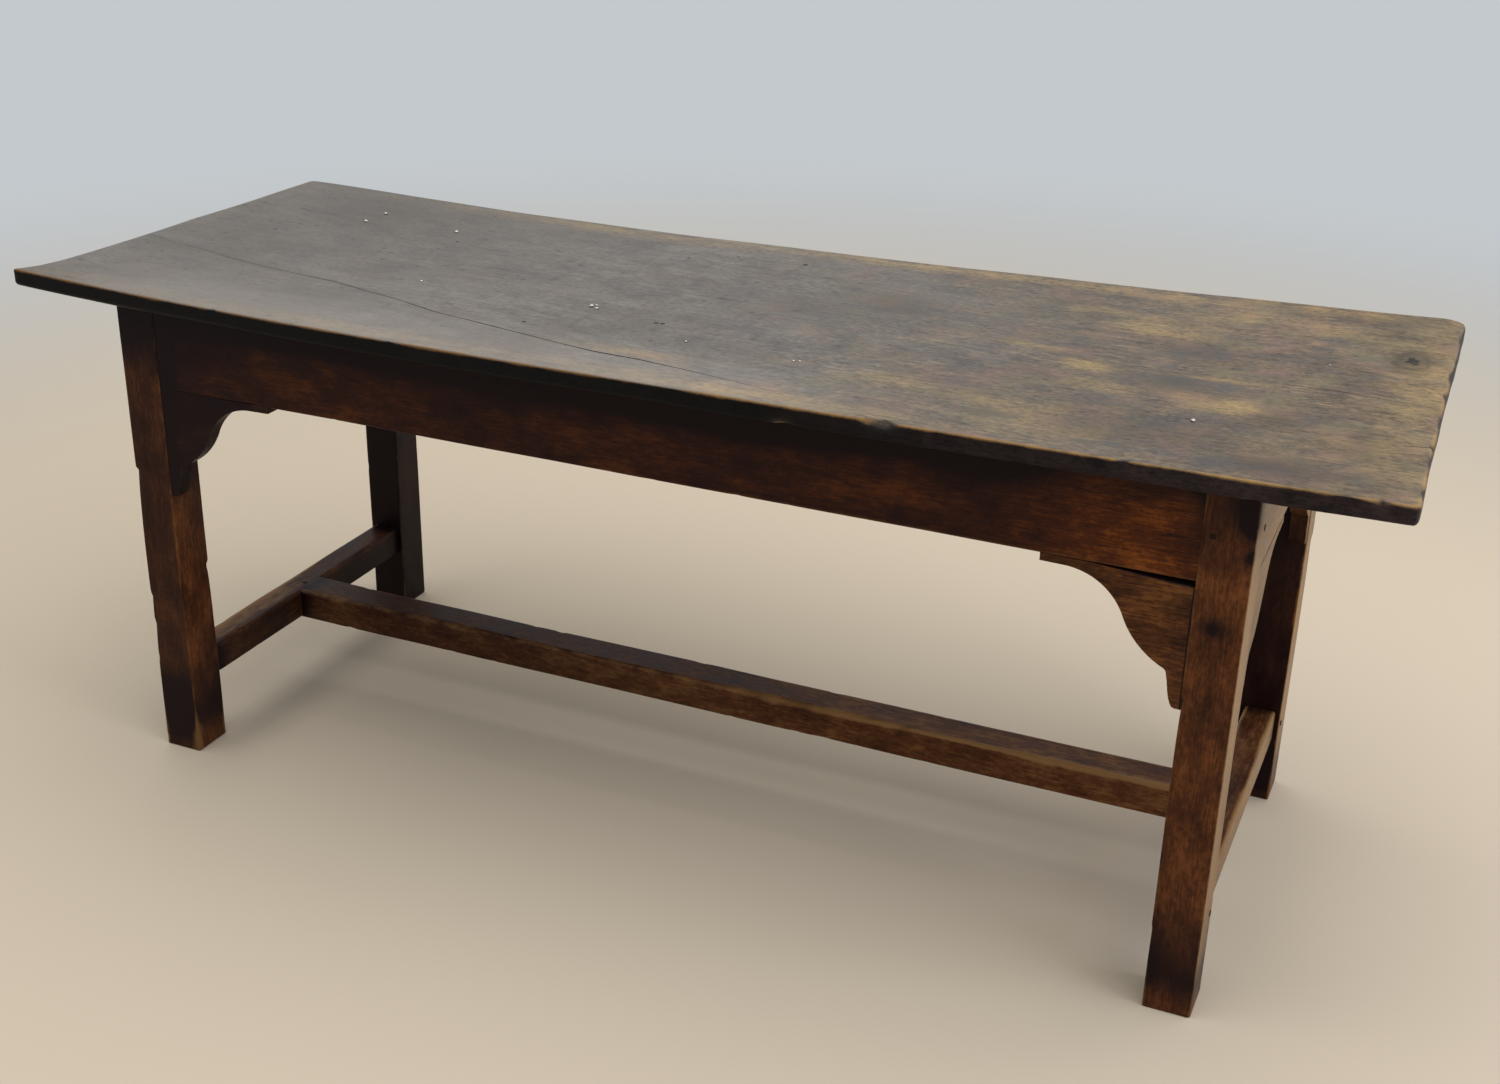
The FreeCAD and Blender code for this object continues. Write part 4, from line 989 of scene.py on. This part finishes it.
# Wax: a few drops of candle wax that have set on the plank, painted pale on top and dark on their sides and
# underneath: painted light and shade.
# Each is a squat lump a few millimetres across, sunk a little into the surface.
# Their places, as (x, y, radius) in millimetres on the plan
WAX_DROPS = ((-715, 158, 3.2), (-713, 213, 2.9), (-556, 179, 3.0), (-171, -84, 3.4), (-166, -78, 2.2),
             (-159, -91, 2.8), (-452, -87, 2.2), (704, -182, 3.2), (825, 111, 1.4), (20, -173, 1.8),
             (181, -184, 1.7), (189, -182, 1.6))
WAX_SQUAT = Vector((1, 1, 0.85))
WAX_LIFT = 0.0004
drops = bmesh.new()
for number, (x, y, radius_mm) in enumerate(WAX_DROPS):
    lump = bmesh.ops.create_icosphere(drops, subdivisions=3, radius=radius_mm / 1000)["verts"]
    seat = Vector((x / 1000, y / 1000, plank_high.z + plank_lift(x / 1000, y / 1000) + WAX_LIFT))
    for vertex in lump:
        swell = 1 + 0.3 * drift(vertex.co, 5, 80 + number)
        vertex.co = seat + WAX_SQUAT * swell * vertex.co
wax_mesh = bpy.data.meshes.new("candle_wax_drops")
drops.to_mesh(wax_mesh)
drops.free()
wax_mesh.shade_smooth()
wax_drops = placed("candle_wax_drops", wax_mesh)
# Tallow wax, run and set: ivory with a soft shine, grey where dust, in 2 mm patches, has stuck to it;
# painted lighter where it faces up and dark where it faces sideways or down, painted light and shade
tallow, tree, shader = new_material("tallow wax")
place = node(tree, "ShaderNodeTexCoord", out="Object")
facing = node(tree, "ShaderNodeNewGeometry", out="Normal")
upward = node(tree, "ShaderNodeSeparateXYZ", (facing,), out="Z")
dust = node(tree, "ShaderNodeTexNoise", {"Vector": place, "Scale": 1000 / 2, "Detail": 2})
dust_and_top_light = node(tree, "ShaderNodeMath", (dust, 0.6, upward), operation="MULTIPLY_ADD")
ivory = node(tree, "ShaderNodeValToRGB", (dust_and_top_light,), ((0.35, "#2a2420"), (0.75, "#8d867b"), (1.0, "#e2ddd3")))
lumpy = node(tree, "ShaderNodeBump", {"Height": dust, "Strength": 0.3, "Distance": 0.0005})
fill(tree, shader, {"Base Color": ivory, "Normal": lumpy, "Roughness": 0.45})
wax_mesh.materials.append(tallow)
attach(wax_drops, "root")


# Floor: a plain pale studio floor, that keeps the table's shadow and fades into the pale background.
# Matt floor paint: an even, warm off-white with next to no shine.
FLOOR_HALF = 9.0
FLOOR_FADE = (1.6, 4.5)
floor_corners = [(x * FLOOR_HALF, y * FLOOR_HALF, 0) for x, y in ((-1, -1), (1, -1), (1, 1), (-1, 1))]
floor_mesh = bpy.data.meshes.new("floor")
floor_mesh.from_pydata(floor_corners, [], [(0, 1, 2, 3)])
floor = placed("floor", floor_mesh)
floor_paint, tree, shader = new_material("matt floor paint")
fill(tree, shader, {"Base Color": paint("#e0d4c1"), "Roughness": 0.9, "Specular IOR Level": 0.2})
away = node(tree, "ShaderNodeTexCoord", out="Object")
away = node(tree, "ShaderNodeVectorMath", (away,), out="Value", operation="LENGTH")
fade = node(tree, "ShaderNodeMapRange", (away, *FLOOR_FADE), interpolation_type="SMOOTHSTEP")
clear = node(tree, "ShaderNodeBsdfTransparent")
faded = node(tree, "ShaderNodeMixShader", (fade, shader.outputs[0], clear))
tree.links.new(faded, tree.nodes["Material Output"].inputs["Surface"])
floor_mesh.materials.append(floor_paint)


# Light: a pale room, one wide soft lamp straight overhead, and a window-like lamp at the right.
# The camera and reflections see a pale backdrop; the light that the room itself gives is weaker.
world = bpy.data.worlds.new("pale studio")
bpy.context.scene.world = world
world.use_nodes = True
tree = world.node_tree
tree.nodes.clear()
path = node(tree, "ShaderNodeLightPath", out=None)
seen = path["Is Camera Ray"]
for ray in ("Is Glossy Ray", "Is Transmission Ray"):
    seen = node(tree, "ShaderNodeMath", (seen, path[ray]), operation="MAXIMUM")
ambient = node(tree, "ShaderNodeBackground", {"Color": paint("#e8edf2"), "Strength": 0.35})
backdrop = node(tree, "ShaderNodeBackground", {"Color": paint("#c4c9cd"), "Strength": 1.0})
room = node(tree, "ShaderNodeMixShader", (seen, ambient, backdrop))
node(tree, "ShaderNodeOutputWorld", {"Surface": room}, out=None)

# Each lamp's place, aim, size, watts and colour
LAMPS = {
    "overhead": ((0.2, 0.0, 3.6), (0.2, 0.0, 0.0), (7.0, 6.0), 165, "#fff6ea"),
    "window": ((3.6, -0.6, 1.9), (0.2, 0.0, 0.6), (2.2, 2.0), 36, "#f3f6ff"),
}
for name, (place, aim, (wide, tall), watts, code) in LAMPS.items():
    lamp = bpy.data.lights.new(name, "AREA")
    lamp.shape, lamp.size, lamp.size_y = "RECTANGLE", wide, tall
    lamp.energy = watts
    lamp.color = paint(code)[:3]
    lamp_object = placed(name, lamp)
    lamp_object.location = place
    lamp_object.rotation_euler = (Vector(aim) - Vector(place)).to_track_quat("-Z", "Y").to_euler()
    lamp_object.visible_camera = False


# Camera: at the photograph's place and angle, its lens worked out for a frame of 1500 by 1084 pixels, which
# is not set here.
# Both were worked out from the edges of the legs, rails and stretchers.
CAMERA_PLACE = (1.0622, -2.3802, 1.5394)
YAW, PITCH, ROLL = (math.radians(angle) for angle in (23.114, 23.944, 1.283))
camera_data = bpy.data.cameras.new("camera")
camera_data.sensor_width = 36.0
camera_data.lens = 45.47
camera = placed("camera", camera_data)
turn = Matrix.Rotation(YAW, 4, "Z") @ Matrix.Rotation(math.pi / 2 - PITCH, 4, "X")
turn = turn @ Matrix.Rotation(ROLL, 4, "Z")
camera.matrix_world = Matrix.Translation(CAMERA_PLACE) @ turn
bpy.context.scene.camera = camera
bpy.context.scene.view_settings.view_transform = "Standard"

bpy.context.view_layer.update()
